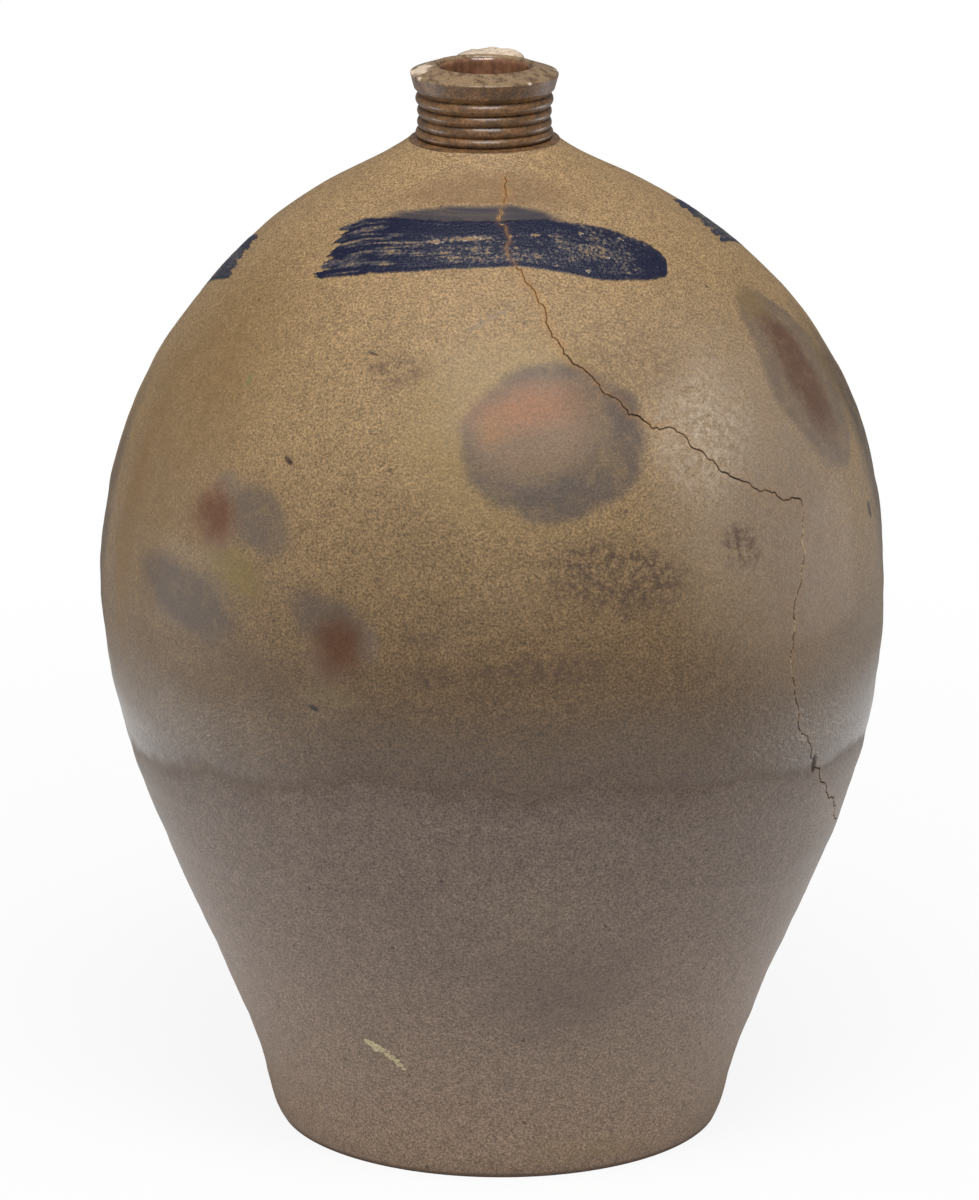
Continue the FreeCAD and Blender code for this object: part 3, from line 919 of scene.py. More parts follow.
# %% Lay a stroke on the wall
def lay_on_wall(stroke, node, marks, turn=0.0, slope=0.0, middle=0.0):
    """Deletes what the brush left bare, lays the rest on the wall and gives the coat its body."""
    x, up, across, inside, painted, haze, streaks, grain = marks
    blister = np.zeros(len(x))
    if turn == 0:
        for along, share, length, width in BLISTERS:
            reach = np.hypot((x - along * MM) / (length * MM), (across - share) / (width / 17))
            blister = np.maximum(blister, 1 - fade(reach + 0.30 * grain, 0.35, 1.05))
    layer = stroke.data.uv_layers.active or stroke.data.uv_layers.new(name="UVMap")
    corner_vertex = np.empty(len(stroke.data.loops), np.int32)
    stroke.data.loops.foreach_get("vertex_index", corner_vertex)
    uv = np.stack([x[corner_vertex], across[corner_vertex]], 1)
    layer.data.foreach_set("uv", uv.ravel())

    tip = math.radians(slope)
    flat_x = x * math.cos(tip) + up * math.sin(tip)
    z = middle + up * math.cos(tip) - x * math.sin(tip)
    z = np.clip(z, 300 * MM, shoulder_top - 4 * MM)
    ring, centre = outer_radius(z), drift(z)
    centre_here = centre * math.cos(math.radians(turn))
    azimuth = np.arcsin(np.clip((flat_x - centre_here) / ring, -0.999, 0.999)) + math.radians(turn)
    raised = painted * (0.55 + 0.2 * streaks + 0.25 * grain) + 0.12
    lift = COAT * np.clip(raised, 0.12, 1.1) - 0.16 * MM * blister + 0.12 * MM * blister * (grain > 0.1)
    on_curve = np.stack([centre + ring * np.sin(azimuth), -ring * np.cos(azimuth), z], 1)
    coarse_spots = clay_noise(on_curve, 4 * MM, 2.5)
    gap, along = distance_to_crack(on_curve)
    groove = 1 - fade(gap, 0.05 * MM, 0.45 * MM)
    ring = ring + hand_marks(azimuth, z) + lift - 0.35 * MM * groove
    on_skin = np.stack([centre + ring * np.sin(azimuth), -ring * np.cos(azimuth), z], 1)
    put_points(stroke, on_skin)
    paint(stroke, "cover", painted)
    paint(stroke, "haze", haze)
    paint(stroke, "blister", blister)
    paint(stroke, "crack", groove * fade(coarse_spots, -0.25, 0.15))
    paint(stroke, "stain", np.clip(0.85 - gap / (3 * MM), 0, 1))
    paint(stroke, "along", along)

    bare = (inside < -0.15 * MM) & (haze < 0.02)
    activate(stroke)
    bpy.ops.object.mode_set(mode="EDIT")
    bpy.ops.mesh.select_all(action="DESELECT")
    bpy.ops.object.mode_set(mode="OBJECT")
    for vertex in stroke.data.vertices:
        vertex.select = bool(bare[vertex.index])
    bpy.ops.object.mode_set(mode="EDIT")
    bpy.ops.mesh.delete(type="VERT")
    bpy.ops.mesh.select_all(action="DESELECT")
    bpy.ops.mesh.select_loose()
    bpy.ops.mesh.delete(type="VERT")
    bpy.ops.object.mode_set(mode="OBJECT")
    face = stroke.data.polygons[len(stroke.data.polygons) // 2]
    if face.normal.dot(Vector((face.center.x, face.center.y, 0))) < 0:
        stroke.data.flip_normals()
    body = stroke.modifiers.new("body", "SOLIDIFY")
    body.thickness = 0.35 * MM
    body.offset = -1
    activate(stroke)
    bpy.ops.object.modifier_apply(modifier="body")
    smooth(stroke, 60)
    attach(stroke, "root")
    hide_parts(node)
    report(stroke)


# %% Brush the three strokes
stroke, *marks = brush("front_stroke_slip", "cobalt_stroke_front", front_low, front_high, front_haze)
lay_on_wall(stroke, "cobalt_stroke_front", marks)
front_stroke = stroke
side_strokes = []
for name, node, turn in (
    ("left_stroke_slip", "cobalt_stroke_left", -101),
    ("right_stroke_slip", "cobalt_stroke_right", 109),
):
    side = 1 if turn > 0 else -1
    stroke, *marks = brush(name, node, side_low, side_high, turn=turn, dry_side=-side)
    middle = (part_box(node)[0].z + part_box(node)[1].z) / 2
    lay_on_wall(stroke, node, marks, turn, SIDE_SLOPE * side, middle + 1 * MM)
    side_strokes.append(stroke)

# %% [markdown]
# ## Crumbs of lime
# Low on the front a few crumbs of pale lime, from the kiln or from a later wall, have stuck to the glaze.
# They are small flattened balls, half sunk in the wall and joined into one piece.

# %% Stick the lime crumbs
random.seed(11)
# Each crumb: azimuth in degrees, height and radius in mm.
CRUMBS = [
    (-27.6, 57.6, 1.6), (-26.4, 56.4, 1.9), (-25.2, 55.4, 1.3), (-28.4, 58.4, 1.0), (-24.2, 53.6, 1.2),
    (-23.2, 52.6, 1.4), (-22.2, 51.2, 1.5), (-21.6, 49.6, 1.3), (-21.0, 47.8, 0.9), (-26.8, 54.6, 0.8),
    (-23.6, 55.0, 0.7),
]
crumbs = []
for azimuth, height, size in CRUMBS:
    bpy.ops.object.select_all(action="DESELECT")
    bpy.ops.mesh.primitive_ico_sphere_add(subdivisions=3, radius=size * MM)
    crumb = bpy.context.object
    points = points_of(crumb)
    points *= (1 + 0.4 * clay_noise(points, 0.9 * size * MM, azimuth))[:, None]
    points[:, 0] *= random.uniform(0.8, 1.5)
    points[:, 1] *= 0.22
    spun = points @ np.array(Matrix.Rotation(math.radians(azimuth), 3, "Z").transposed())
    put_points(crumb, spun + np.array(on_wall(azimuth, height * MM, 0.05 * MM)))
    crumbs.append(crumb)
bpy.ops.object.select_all(action="DESELECT")
for crumb in crumbs:
    crumb.select_set(True)
bpy.context.view_layer.objects.active = crumbs[0]
bpy.ops.object.join()
lime = bpy.context.object
lime.name = "lime_crumbs"
smooth(lime, 60)
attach(lime, "root")
report(lime)

# %% [markdown]
# ## Node groups for the finishes
# The same salt glaze lies on the walls, the neck, the handle and under the thin parts of the cobalt, and
# the same crack runs through walls and cobalt. Such shared effects are node groups: each is built once,
# with named sockets, and placed in every material that needs it.

# %% Group helpers
def new_group(name, inputs, outputs):
    """An empty node group with its sockets; returns the group and its two end nodes."""
    group = bpy.data.node_groups.new(name, "ShaderNodeTree")
    for label, kind in inputs.items():
        group.interface.new_socket(label, in_out="INPUT", socket_type="NodeSocket" + kind)
    for label, kind in outputs.items():
        group.interface.new_socket(label, in_out="OUTPUT", socket_type="NodeSocket" + kind)
    return group, group.nodes.new("NodeGroupInput"), group.nodes.new("NodeGroupOutput")


def place_group(tree, group, inputs):
    """Puts a node group into a material."""
    return add_node(tree, "ShaderNodeGroup", inputs, node_tree=group).outputs


def grain_of(tree, vector, size, detail=3.0, contrast=0.5):
    """Noise around 0.5 with features of a given size in metres."""
    inputs = {"Vector": vector, "Scale": 1 / size, "Detail": detail, "Roughness": contrast}
    return add_node(tree, "ShaderNodeTexNoise", inputs).outputs["Fac"]


def bands(tree, value, stops):
    """A colour ramp from (position, colour) stops."""
    node = add_node(tree, "ShaderNodeValToRGB", {"Fac": value})
    elements = node.color_ramp.elements
    for place, colour in stops[1:-1]:
        elements.new(place).color = (*colour, 1)
    for element, (place, colour) in ((elements[0], stops[0]), (elements[-1], stops[-1])):
        element.position = place
        element.color = (*colour, 1)
    return node.outputs["Color"]


def brighten(tree, colour, factor):
    """Multiplies a colour by a number."""
    node = add_node(tree, "ShaderNodeVectorMath", {0: colour, "Scale": factor}, operation="SCALE")
    return node.outputs["Vector"]


# %% [markdown]
# ### Salt glaze
# Salt thrown into the hot kiln turns to vapour and melts a thin glass on the clay. High on this jug the
# glaze is tan and sandy. At about two fifths of the height a wavy line crosses it: just above it the
# glass is brown, thick and pebbled like orange peel, and below it the clay stays grey-taupe.
# The line's height follows the place on the jug plus slow noise, and all else follows from that height.

# %% The salt glaze group
TAN = (0.310, 0.200, 0.098)
LINE_TOP = 0.42
glaze, ends_in, ends_out = new_group(
    "Salt Glaze",
    {"Vector": "Vector"},
    {"Color": "Color", "Roughness": "Float", "Gloss": "Float", "Height": "Float"},
)
vector = ends_in.outputs["Vector"]
parts = add_node(glaze, "ShaderNodeSeparateXYZ", {0: vector})
sag = calc(glaze, "MULTIPLY", calc(glaze, "POWER", parts.outputs["X"], 2.0), 0.80)
slow = calc(glaze, "MULTIPLY", calc(glaze, "SUBTRACT", grain_of(glaze, vector, 0.06, 2), 0.5), 0.022)
quick = calc(glaze, "MULTIPLY", calc(glaze, "SUBTRACT", grain_of(glaze, vector, 0.008, 3), 0.5), 0.010)
level = calc(glaze, "ADD", parts.outputs["Z"], calc(glaze, "ADD", sag, calc(glaze, "ADD", slow, quick)))
share = calc(glaze, "DIVIDE", level, LINE_TOP)
colour = bands(glaze, share, [
    (0.0, (0.262, 0.178, 0.118)), (0.10, (0.240, 0.170, 0.122)), (0.25, (0.190, 0.138, 0.104)),
    (0.38, (0.158, 0.115, 0.088)), (0.412, (0.135, 0.095, 0.070)), (0.425, (0.098, 0.060, 0.035)),
    (0.47, (0.108, 0.066, 0.034)), (0.54, (0.142, 0.088, 0.043)), (0.62, (0.196, 0.126, 0.060)),
    (0.72, (0.246, 0.160, 0.076)), (1.0, TAN),
])
cloud = grain_of(glaze, vector, 0.075, 4)
colour = blend_colours(glaze, ramp(glaze, cloud, 0.50, 0.72, 0, 0.22), colour, (0.26, 0.19, 0.125, 1))
elsewhere = add_node(glaze, "ShaderNodeVectorMath", {0: vector, 1: (3, 5, 7)}, operation="ADD").outputs[0]
yellow = grain_of(glaze, elsewhere, 0.05, 4)
colour = blend_colours(glaze, ramp(glaze, yellow, 0.50, 0.70, 0, 0.30), colour, brighten(glaze, colour, 0.74))
sand = grain_of(glaze, vector, 0.0008, 2, 0.7)
sand_big = grain_of(glaze, vector, 0.0045, 4, 0.6)
colour = brighten(glaze, colour, ramp(glaze, sand, 0.30, 0.70, 0.55, 1.48))
colour = brighten(glaze, colour, ramp(glaze, sand_big, 0.28, 0.72, 0.90, 1.10))
cells = add_node(glaze, "ShaderNodeTexVoronoi", {"Vector": vector, "Scale": 160.0})
speck_size = add_node(glaze, "ShaderNodeSeparateColor", {0: cells.outputs["Color"]}).outputs[0]
reach = calc(glaze, "SUBTRACT", calc(glaze, "MULTIPLY", speck_size, 0.34), 0.20)
specks = ramp(glaze, calc(glaze, "SUBTRACT", reach, cells.outputs["Distance"]), -0.03, 0.03)
colour = blend_colours(glaze, calc(glaze, "MULTIPLY", specks, 0.75), colour, (0.055, 0.035, 0.022, 1))

# %% The glaze's roughness, gloss and relief
in_band = calc(glaze, "MULTIPLY", ramp(glaze, share, 0.415, 0.43), ramp(glaze, share, 0.44, 0.535, 1.0, 0.0))
below = ramp(glaze, share, 0.40, 0.43, 1.0, 0.0)
rough = calc(glaze, "SUBTRACT", 0.60, calc(glaze, "MULTIPLY", in_band, 0.32))
rough = calc(glaze, "SUBTRACT", rough, calc(glaze, "MULTIPLY", below, 0.18))
rough = calc(glaze, "ADD", rough, calc(glaze, "MULTIPLY", calc(glaze, "SUBTRACT", sand, 0.5), 0.25))
squeezed = add_node(glaze, "ShaderNodeMapping", {"Vector": vector, "Scale": (1, 1, 1.7)}).outputs[0]
peel = grain_of(glaze, squeezed, 0.0026, 1.5, 0.4)
wet_below = calc(glaze, "ADD", calc(glaze, "MULTIPLY", below, 0.12), 0.22)
wet = calc(glaze, "ADD", calc(glaze, "MULTIPLY", in_band, 0.45), wet_below)
relief = calc(glaze, "ADD", calc(glaze, "MULTIPLY", peel, wet), calc(glaze, "MULTIPLY", sand, 0.34))
glaze.links.new(colour, ends_out.inputs["Color"])
glaze.links.new(rough, ends_out.inputs["Roughness"])
glaze.links.new(calc(glaze, "ADD", calc(glaze, "MULTIPLY", in_band, 0.5), 0.04), ends_out.inputs["Gloss"])
glaze.links.new(relief, ends_out.inputs["Height"])

# %% [markdown]
# ### Fire marks and painted light
# Where pots touched or nearly touched in the kiln, and where ash landed, the glaze kept a patch of another
# colour. Each patch is a few soft ellipses, one over the other. The same ellipses also lay painted light on
# the body: a sparkle of painted highlights and patches of painted shade. The group measures how far a point
# is from an ellipse's centre, as 0 at the centre and 1 at its edge, in a frame that lies flat on the wall
# there.

# %% The fire mark group
fire, ends_in, ends_out = new_group(
    "Fire Mark",
    {
        "Vector": "Vector", "Centre": "Vector", "Turn": "Vector", "Size": "Vector",
        "Inner": "Float", "Outer": "Float",
    },
    {"Mask": "Float"},
)
local = add_node(fire, "ShaderNodeMapping", vector_type="TEXTURE")
for label, socket in (("Vector", "Vector"), ("Centre", "Location"), ("Turn", "Rotation"), ("Size", "Scale")):
    fire.links.new(ends_in.outputs[label], local.inputs[socket])
reach = add_node(fire, "ShaderNodeVectorMath", {0: local.outputs[0]}, operation="LENGTH").outputs["Value"]
mask = ramp(fire, reach, ends_in.outputs["Inner"], ends_in.outputs["Outer"], 1.0, 0.0)
fire.links.new(mask, ends_out.inputs["Mask"])

# %% [markdown]
# ### The crack's stain
# Rust has crept into the crack. High up it is orange and soft, lower down it is a dark line, and on the
# flank someone filled it with pale paste, of which flecks are left. The three numbers come from the mesh.

# %% The crack group
crack_group, ends_in, ends_out = new_group(
    "Age Crack",
    {"Color": "Color", "Vector": "Vector", "Crack": "Float", "Stain": "Float", "Along": "Float"},
    {"Color": "Color"},
)
along = ends_in.outputs["Along"]
vector = ends_in.outputs["Vector"]
spots = grain_of(crack_group, vector, 0.0022, 2)
high_up = ramp(crack_group, along, 0.16, 0.30, 1.0, 0.0)
near_crack = calc(crack_group, "POWER", ends_in.outputs["Stain"], 2.2)
rust = calc(crack_group, "MULTIPLY", near_crack, ramp(crack_group, spots, 0.35, 0.6, 0.25, 1))
rust = calc(crack_group, "MULTIPLY", rust, ramp(crack_group, along, 0.2, 0.5, 0.50, 0.22))
colour = blend_colours(crack_group, rust, ends_in.outputs["Color"], (0.34, 0.165, 0.05, 1))
line_colour = blend_colours(crack_group, high_up, (0.030, 0.017, 0.010, 1), (0.19, 0.085, 0.022, 1))
filled = ramp(crack_group, along, 0.60, 0.66)
filled = calc(crack_group, "MULTIPLY", filled, ramp(crack_group, spots, 0.50, 0.56))
filled = calc(crack_group, "MULTIPLY", filled, ramp(crack_group, along, 0.80, 0.84, 1.0, 0.0))
line_colour = blend_colours(crack_group, filled, line_colour, (0.55, 0.45, 0.30, 1))
colour = blend_colours(crack_group, ends_in.outputs["Crack"], colour, line_colour)
crack_group.links.new(colour, ends_out.inputs["Color"])

# %% [markdown]
# ## The body's glaze
# The body carries nearly all the fire marks, and with them a few patches of painted light: a painted sparkle
# of highlights, painted shade along both flanks, and a patch low on the front that is partly painted shade.
# They are listed from the lowest layer to the top one, each with its place on the wall, the roll of its
# ellipse, its half sizes, how soft it is, its colour and its strength. A speckled one only shows in the
# grains of a noise, and the others are a little mottled.
# One slow warp of the coordinates bends all the larger ones alike.

# %% The list of fire marks and painted light
GREY, PALE, RED = (0.090, 0.065, 0.052), (0.196, 0.127, 0.078), (0.098, 0.044, 0.024)
# azimuth, height mm, roll, half width, half height mm, inner, outer, colour, strength, speckled
FIRE_MARKS_AND_PAINTED_LIGHT = [
    # A brown left side, a greyer right side, ochre down the left flank, and painted shade along the left edge
    (-62, 300, 0, 52, 90, 0.3, 1.1, (0.170, 0.098, 0.034), 0.65, 0),
    (44, 285, 0, 60, 88, 0.3, 1.1, (0.270, 0.205, 0.145), 0.65, 0),
    (-69, 250, 0, 13, 62, 0.3, 1.0, (0.175, 0.098, 0.032), 0.75, 0),
    (-84, 246, 0, 16, 75, 0.3, 1.0, (0.098, 0.065, 0.038), 0.8, 0),
    # The pale sparkle right of the round kiss is painted highlight, specks of light on the glaze; rust
    # freckles lie below it
    (37, 302, -25, 30, 34, 0.2, 1.1, (0.42, 0.33, 0.24), 0.85, 1),
    (52, 252, 0, 48, 45, 0.3, 1.1, (0.189, 0.094, 0.032), 0.55, 1),
    (50, 270, 0, 40, 60, 0.3, 1.1, (0.175, 0.130, 0.096), 0.45, 0),
    # The round kiss: yellow rim, grey body, pale and salmon heart
    (3, 309, 0, 47, 42, 0.60, 1.12, (0.259, 0.176, 0.070), 0.55, 0),
    (9.7, 304.5, 10, 37.5, 31, 0.86, 1.03, GREY, 0.86, 0),
    (6.5, 307.5, 12, 33, 25, 0.45, 1.0, PALE, 0.95, 0),
    (5.5, 315.5, 8, 26, 13, 0.2, 1.15, (0.273, 0.124, 0.058), 0.85, 0),
    (-1, 309, 0, 11, 10, 0.0, 1.0, (0.294, 0.150, 0.055), 0.5, 0),
    (22.5, 312, 0, 8, 13, 0.3, 1.05, GREY, 0.75, 0),
    (10, 287, 0, 22, 8, 0.2, 1.1, (0.081, 0.062, 0.052), 0.6, 0),
    # The leaf-shaped kiss on the right flank, and last a dark band of painted shade along the right edge
    (50, 303, -24, 6, 42, 0.2, 1.0, (0.252, 0.176, 0.110), 0.5, 0),
    (67.5, 311, -2, 29, 41, 0.84, 1.03, (0.119, 0.085, 0.063), 0.8, 0),
    (67, 336, 0, 15, 12, 0.2, 1.0, (0.189, 0.124, 0.049), 0.7, 0),
    (66.5, 311, 0, 17, 34, 0.5, 1.0, RED, 0.9, 0),
    (80, 300, 0, 9, 34, 0.3, 1.0, (0.189, 0.124, 0.052), 0.75, 0),
    (85, 275, 0, 26, 75, 0.3, 1.0, (0.060, 0.038, 0.024), 0.9, 0),
    # The first small kiss on the left, its olive foot and the grey-blue patch under it
    (-37.5, 270, -30, 21, 14, 0.5, 1.05, (0.108, 0.078, 0.057), 0.85, 0),
    (-45, 279, 0, 11, 7, 0.3, 1.05, (0.140, 0.104, 0.078), 0.7, 0),
    (-41, 251, -22, 28, 11, 0.2, 1.05, (0.170, 0.116, 0.034), 0.9, 0),
    (-45.3, 264, 0, 15, 15, 0.4, 1.0, (0.161, 0.092, 0.057), 0.85, 0),
    (-46.5, 269, 0, 16, 14, 0.3, 1.1, (0.110, 0.040, 0.013), 0.98, 0),
    (-50, 236, -12, 36, 16, 0.55, 1.05, (0.082, 0.056, 0.038), 0.9, 0),
    (-36, 214, -10, 34, 15, 0.2, 1.1, (0.101, 0.066, 0.041), 0.5, 0),
    # The second small kiss
    (-24, 238, -15, 19, 12, 0.5, 1.05, (0.094, 0.066, 0.048), 0.88, 0),
    (-18, 231, 0, 7, 11, 0.3, 1.05, (0.126, 0.094, 0.072), 0.65, 0),
    (-24, 221, 0, 13, 11, 0.3, 1.05, (0.147, 0.094, 0.061), 0.7, 0),
    (-22.2, 229, 0, 14, 15, 0.2, 1.1, (0.088, 0.032, 0.011), 0.95, 0),
    (-23, 209, 0, 15, 6, 0.2, 1.05, (0.161, 0.120, 0.061), 0.5, 0),
    # Dark speckled blooms
    (18, 256, -8, 36, 17, 0.45, 1.1, (0.073, 0.044, 0.029), 0.95, 1),
    (7, 223, 0, 30, 6, 0.45, 1.1, (0.081, 0.049, 0.032), 0.9, 1),
    (-8, 220, 0, 9, 6, 0.4, 1.1, (0.081, 0.049, 0.032), 0.9, 1),
    (-18, 326, 0, 14, 9, 0.4, 1.1, (0.105, 0.062, 0.035), 0.8, 1),
    (-10, 234, 0, 9, 4, 0.4, 1.1, (0.098, 0.058, 0.035), 0.8, 1),
    (39, 260, 0, 10, 12, 0.4, 1.1, (0.084, 0.051, 0.032), 0.85, 1),
    (27, 330, 0, 28, 22, 0.3, 1.1, (0.147, 0.091, 0.049), 0.6, 1),
    (0, 380, 0, 46, 16, 0.3, 1.1, (0.190, 0.112, 0.052), 0.8, 0),
    # A pale arc, a green streak, a yellow bloom on the foot, and a dark patch low on the front, partly a
    # purple-grey patch in the glaze and partly painted shade
    (-1, 344.5, 34, 15, 2.2, 0.2, 1.1, (0.189, 0.153, 0.122), 0.7, 1),
    (-48.5, 316, 0, 1.6, 4.5, 0.2, 1.1, (0.070, 0.156, 0.041), 0.5, 1),
    (24, 10, 0, 34, 9, 0.2, 1.1, (0.238, 0.163, 0.070), 0.55, 1),
    (12, 84, 0, 44, 34, 0.2, 1.1, (0.122, 0.086, 0.068), 0.45, 0),
    # Small pits and nicks
    (-23.7, 331, -12, 2.6, 0.7, 0.5, 1.2, (0.028, 0.016, 0.010), 0.9, 0),
    (-34.1, 293, -30, 3.0, 1.1, 0.5, 1.2, (0.025, 0.014, 0.009), 0.95, 0),
    (-25.9, 204, -20, 2.6, 1.1, 0.5, 1.2, (0.021, 0.013, 0.009), 0.95, 0),
    (75, 254, 85, 4.0, 2.6, 0.5, 1.2, (0.035, 0.018, 0.009), 0.95, 0),
]
print("fire marks:", len(FIRE_MARKS_AND_PAINTED_LIGHT))


def flat_on_wall(azimuth, height, roll):
    """The turn, as an Euler angle, of a frame whose X and Y lie on the wall and whose Z points out of it."""
    across = Vector((math.cos(math.radians(azimuth)), math.sin(math.radians(azimuth)), 0))
    rise = on_wall(azimuth, height + 1 * MM) - on_wall(azimuth, height - 1 * MM)
    out = across.cross(rise.normalized())
    frame_there = Matrix((across, out.cross(across), out)).transposed()
    return (frame_there @ Matrix.Rotation(math.radians(roll), 3, "Z")).to_euler()


# %% Material helpers
def new_material(name):
    """An empty node material and its object coordinates."""
    material = bpy.data.materials.new(name)
    material.use_nodes = True
    tree = material.node_tree
    tree.nodes.clear()
    return material, tree, add_node(tree, "ShaderNodeTexCoord").outputs["Object"]


def attribute(tree, name):
    """A number stored on the mesh."""
    return add_node(tree, "ShaderNodeAttribute", attribute_name=name).outputs["Fac"]


def finish_material(tree, colour, rough, height, relief, gloss=0.0, coat_rough=0.2):
    """Ends a material: colour, roughness, a clear coat and a bump with its relief in metres.

    Salt glaze is a thin impure glass, so it mirrors a little less than clear glass does.
    """
    bump = add_node(tree, "ShaderNodeBump", {"Strength": 1.0, "Distance": relief, "Height": height})
    inputs = {"Base Color": colour, "Roughness": rough, "Coat Weight": gloss, "Coat Roughness": coat_rough}
    inputs |= {"Specular IOR Level": 0.35, "Normal": bump.outputs[0]}
    shader = add_node(tree, "ShaderNodeBsdfPrincipled", inputs)
    add_node(tree, "ShaderNodeOutputMaterial", {"Surface": shader.outputs[0]})


def cracked(tree, colour, vector):
    """Lays the age crack over a colour."""
    inputs = {"Color": colour, "Vector": vector}
    inputs |= {label: attribute(tree, label.lower()) for label in ("Crack", "Stain", "Along")}
    return place_group(tree, crack_group, inputs)["Color"]


def warp(tree, vector, size, amount):
    """Bends the coordinates by slow noise, so that no patch keeps a ruled edge."""
    inputs = {"Vector": vector, "Scale": 1 / size, "Detail": 3.0}
    push = add_node(tree, "ShaderNodeTexNoise", inputs).outputs["Color"]
    half = {0: push, 1: (0.5, 0.5, 0.5)}
    push = add_node(tree, "ShaderNodeVectorMath", half, operation="SUBTRACT").outputs[0]
    push = brighten(tree, push, amount)
    return add_node(tree, "ShaderNodeVectorMath", {0: vector, 1: push}, operation="ADD").outputs[0]


# %% The body material
body_glaze, tree, vector = new_material("body_salt_glaze")
base_glaze = place_group(tree, glaze, {"Vector": vector})
colour = base_glaze["Color"]
bent = warp(tree, vector, 22 * MM, 12 * MM)
mottle = ramp(tree, grain_of(tree, vector, 6 * MM, 5, 0.65), 0.30, 0.58, 0.62, 1.0)
pepper = ramp(tree, grain_of(tree, vector, 3 * MM, 6, 0.78), 0.40, 0.62)
for azimuth, height, roll, half_width, half_height, inner, outer, tint, strength, speckled in FIRE_MARKS_AND_PAINTED_LIGHT:
    mask = place_group(tree, fire, {
        "Vector": bent if half_width > 6 else vector, "Centre": on_wall(azimuth, height * MM),
        "Turn": flat_on_wall(azimuth, height * MM, roll), "Size": (half_width * MM, half_height * MM, 0.08),
        "Inner": inner, "Outer": outer,
    })["Mask"]
    amount = calc(tree, "MULTIPLY", mask, strength)
    amount = calc(tree, "MULTIPLY", amount, pepper if speckled else mottle)
    colour = blend_colours(tree, amount, colour, (*tint, 1))
colour = brighten(tree, colour, ramp(tree, grain_of(tree, vector, 0.0009, 2, 0.6), 0.3, 0.7, 0.82, 1.18))
above_ground = add_node(tree, "ShaderNodeSeparateXYZ", {0: vector}).outputs["Z"]
edge_of_foot = ramp(tree, above_ground, 0.8 * MM, 2.5 * MM, 0.8, 0.0)
colour = blend_colours(tree, edge_of_foot, colour, (0.10, 0.055, 0.03, 1))
colour = cracked(tree, colour, vector)
finish_material(
    tree, colour, base_glaze["Roughness"], base_glaze["Height"], 0.9 * MM, base_glaze["Gloss"], 0.16
)
for wall in (lower_wall, upper_wall):
    wall.data.materials.append(body_glaze)

# %% [markdown]
# ## Neck and handle
# The neck caught more vapour and ash than the rest: it is a browner glaze, glossy on the crests of the
# reeds, ochre and nearly black in the grooves. The flat top of the lip is painted lighter, as painted top
# light.
# Worn spots on the lip and on the handle's crown are bare, pale clay. Wear is where the mesh was chipped,
# and a little more where noise says so.

# %% Neck and handle materials
BARE = (0.62, 0.50, 0.38, 1)


def brown_glaze(name, tint, worn_centre=None):
    """The salt glaze in a browner tint, with ochre in the grooves, bare clay where it is worn and a lip top
    painted lighter as painted top light.
    """
    material, tree, vector = new_material(name)
    base_glaze = place_group(tree, glaze, {"Vector": vector})
    tinted = blend_colours(tree, 1.0, base_glaze["Color"], tint, "MULTIPLY")
    height = add_node(tree, "ShaderNodeSeparateXYZ", {0: vector}).outputs["Z"]
    # The lip's flat top is painted lighter than the neck below it: painted top light, as if lit from above.
    painted_lit_lip_top = ramp(tree, height, lip_top - 3.9 * MM, lip_top - 3.3 * MM)
    painted_lit_lip_colour = brighten(tree, base_glaze["Color"], 0.82)
    painted_lit_lip_colour = blend_colours(tree, 0.55, painted_lit_lip_colour, (0.245, 0.165, 0.100, 1))
    colour = blend_colours(tree, painted_lit_lip_top, tinted, painted_lit_lip_colour)
    patches = grain_of(tree, vector, 0.004, 4, 0.65)
    colour = blend_colours(tree, ramp(tree, patches, 0.45, 0.62, 0, 0.8), colour, (0.080, 0.045, 0.024, 1))
    groove = attribute(tree, "groove")
    patchy = ramp(tree, patches, 0.42, 0.6)
    ochre = blend_colours(tree, patchy, (0.15, 0.066, 0.016, 1), (0.050, 0.026, 0.012, 1))
    colour = blend_colours(tree, calc(tree, "MULTIPLY", groove, 0.92), colour, ochre)
    wear = attribute(tree, "wear")
    if worn_centre:
        rub = place_group(tree, fire, {
            "Vector": warp(tree, vector, 0.005, 0.011), "Centre": worn_centre,
            "Turn": (0, 0, math.radians(-10)), "Size": (5.5 * MM, 10 * MM, 4 * MM),
            "Inner": 0.55, "Outer": 1.0,
        })["Mask"]
        wear = calc(tree, "MAXIMUM", wear, rub)
    chalk = grain_of(tree, vector, 0.0016, 3, 0.6)
    bare = calc(tree, "MULTIPLY", wear, ramp(tree, chalk, 0.30, 0.52, 0.35, 1.0), True)
    colour = blend_colours(tree, bare, colour, BARE)
    rough = calc(tree, "SUBTRACT", base_glaze["Roughness"], 0.18)
    rough = calc(tree, "ADD", rough, calc(tree, "MULTIPLY", bare, 0.35))
    gloss = calc(tree, "MULTIPLY", calc(tree, "SUBTRACT", 1.0, bare), 0.22)
    height = calc(tree, "ADD", base_glaze["Height"], calc(tree, "MULTIPLY", chalk, 0.25))
    finish_material(tree, colour, rough, height, 0.30 * MM, gloss, 0.12)
    return material


worn_lip = (neck_x - 24.5 * MM, -2 * MM, lip_top - 2.2 * MM)
neck_glaze = brown_glaze("neck_salt_glaze", (0.56, 0.44, 0.37, 1), worn_lip)
spout.data.materials.append(neck_glaze)
handle_glaze = brown_glaze("handle_salt_glaze", (0.80, 0.78, 0.78, 1))
for piece in (strap, upper_wad, lower_pad):
    piece.data.materials.append(handle_glaze)

# %% [markdown]
# ## Brown slip, bare foot and lime
# The slip inside is glossy chocolate brown that ran while it was wet, so its noise is stretched downwards.
# The foot is bare clay, toasted orange in places by the flame. The crumbs are chalky.

